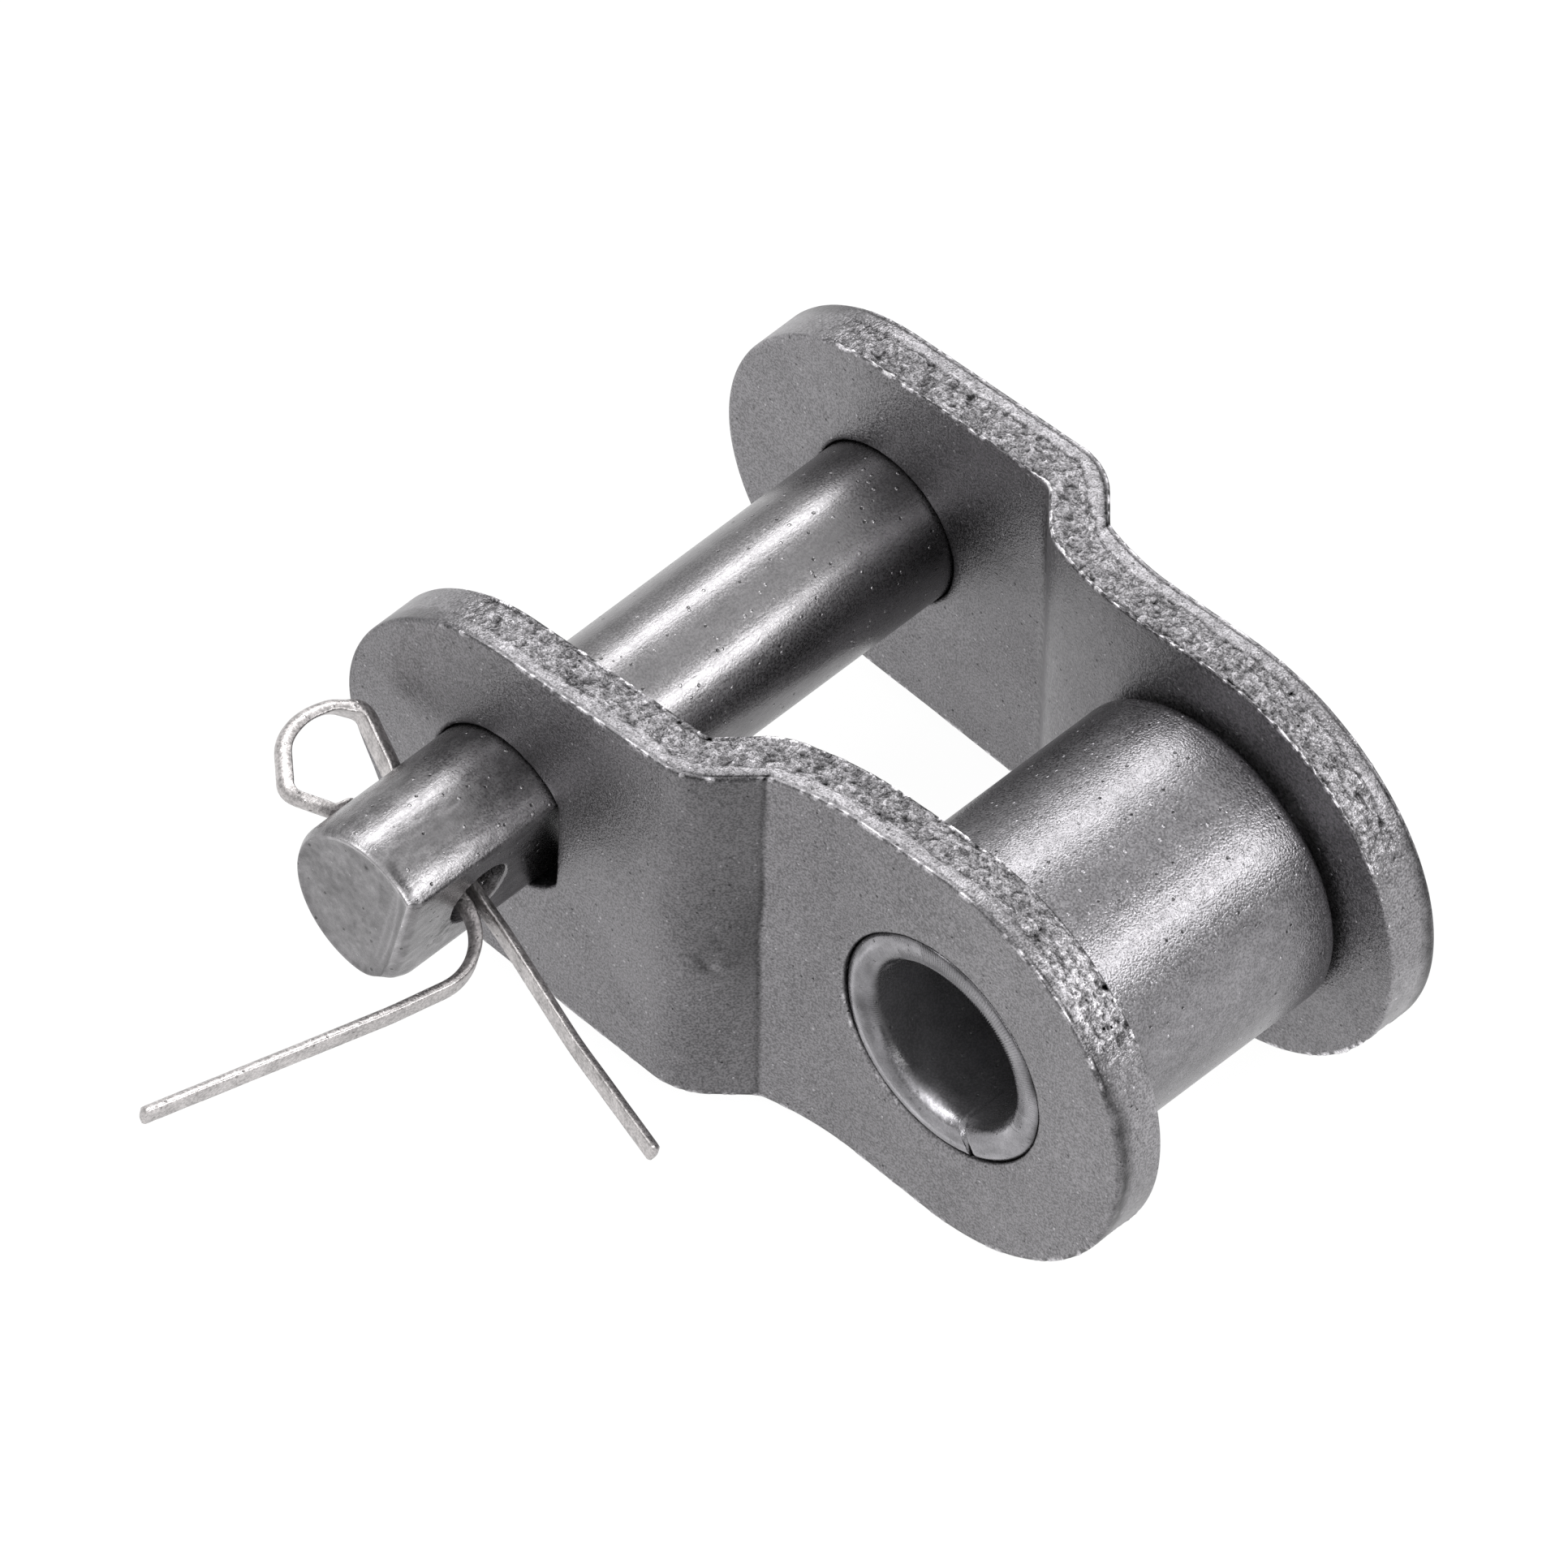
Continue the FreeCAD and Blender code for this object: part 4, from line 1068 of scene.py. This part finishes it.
def buildWorld():
    world = bpy.data.worlds.new("studio")
    scene.world = world
    world.use_nodes = True
    tree = world.node_tree
    plain, white = tree.nodes["Background"], tree.nodes.new("ShaderNodeBackground")
    for light in (plain, white):
        light.inputs["Color"].default_value = (1, 1, 1, 1)
    white.inputs["Strength"].default_value = 1.0
    place = tree.nodes.new("ShaderNodeTexCoord")
    split = tree.nodes.new("ShaderNodeSeparateXYZ")
    tree.links.new(place.outputs["Generated"], split.inputs["Vector"])
    rise = rampNode(tree, split.outputs["Z"], 0, studio["skyTop"], studio["horizon"],
                    studio["above"])
    tree.links.new(rise, plain.inputs["Strength"])
    _, seen = raysOf(tree)
    blend(tree, seen, plain.outputs["Background"], white.outputs["Background"], "World Output")


def addLamp(number, way, width, length, brightness):
    lamp = bpy.data.lights.new(f"softbox {number}", "AREA")
    lamp.shape = "RECTANGLE"
    lamp.size, lamp.size_y = width, length
    lamp.energy = brightness * math.pi * width * length
    box = bpy.data.objects.new(lamp.name, lamp)
    back = Vector(way).normalized()
    side = Vector((0, 1, 0)).cross(back).normalized()
    place = Matrix([side, back.cross(side), back]).transposed().to_4x4()
    place.translation = back * studio["lampDistance"] + Vector(studio["lampsMiddle"])
    box.matrix_world = place
    scene.collection.objects.link(box)


# The photograph's view: bearing and height of the lens, its turn, and the frame's middle.
view = {
    "azimuth": 43.034, "elevation": 47.78, "roll": 1.759,
    "distance": 1.5, "pixelsPerMm": 51.898, "picture": 1932, "sensor": 36,
    "middle": (-1.651, 3.231),
}


def addCamera():
    azimuth, elevation, roll = (math.radians(view[k]) for k in ("azimuth", "elevation", "roll"))
    back = Vector((math.sin(azimuth) * math.cos(elevation),
                   -math.cos(azimuth) * math.cos(elevation), math.sin(elevation)))
    right = Vector((0, 0, 1)).cross(back).normalized()
    up = back.cross(right)
    right, up = (right * math.cos(roll) + up * math.sin(roll),
                 up * math.cos(roll) - right * math.sin(roll))
    place = Matrix([right, up, back]).transposed().to_4x4()
    offset = right * view["middle"][0] + up * view["middle"][1]
    place.translation = back * view["distance"] - offset * mm - Vector((link["pitch"] * mm, 0, 0))
    data = bpy.data.cameras.new("camera")
    data.sensor_width = view["sensor"]
    data.lens = view["sensor"] * view["pixelsPerMm"] * view["distance"] / mm / view["picture"]
    data.clip_start, data.clip_end = 0.05, 20
    camera = bpy.data.objects.new("camera", data)
    camera.matrix_world = place
    scene.collection.objects.link(camera)
    scene.camera = camera


buildFloor()
buildWorld()
for number, lamp in enumerate(studio["lamps"], start=1):
    addLamp(number, *lamp)
addCamera()
print("studio made")
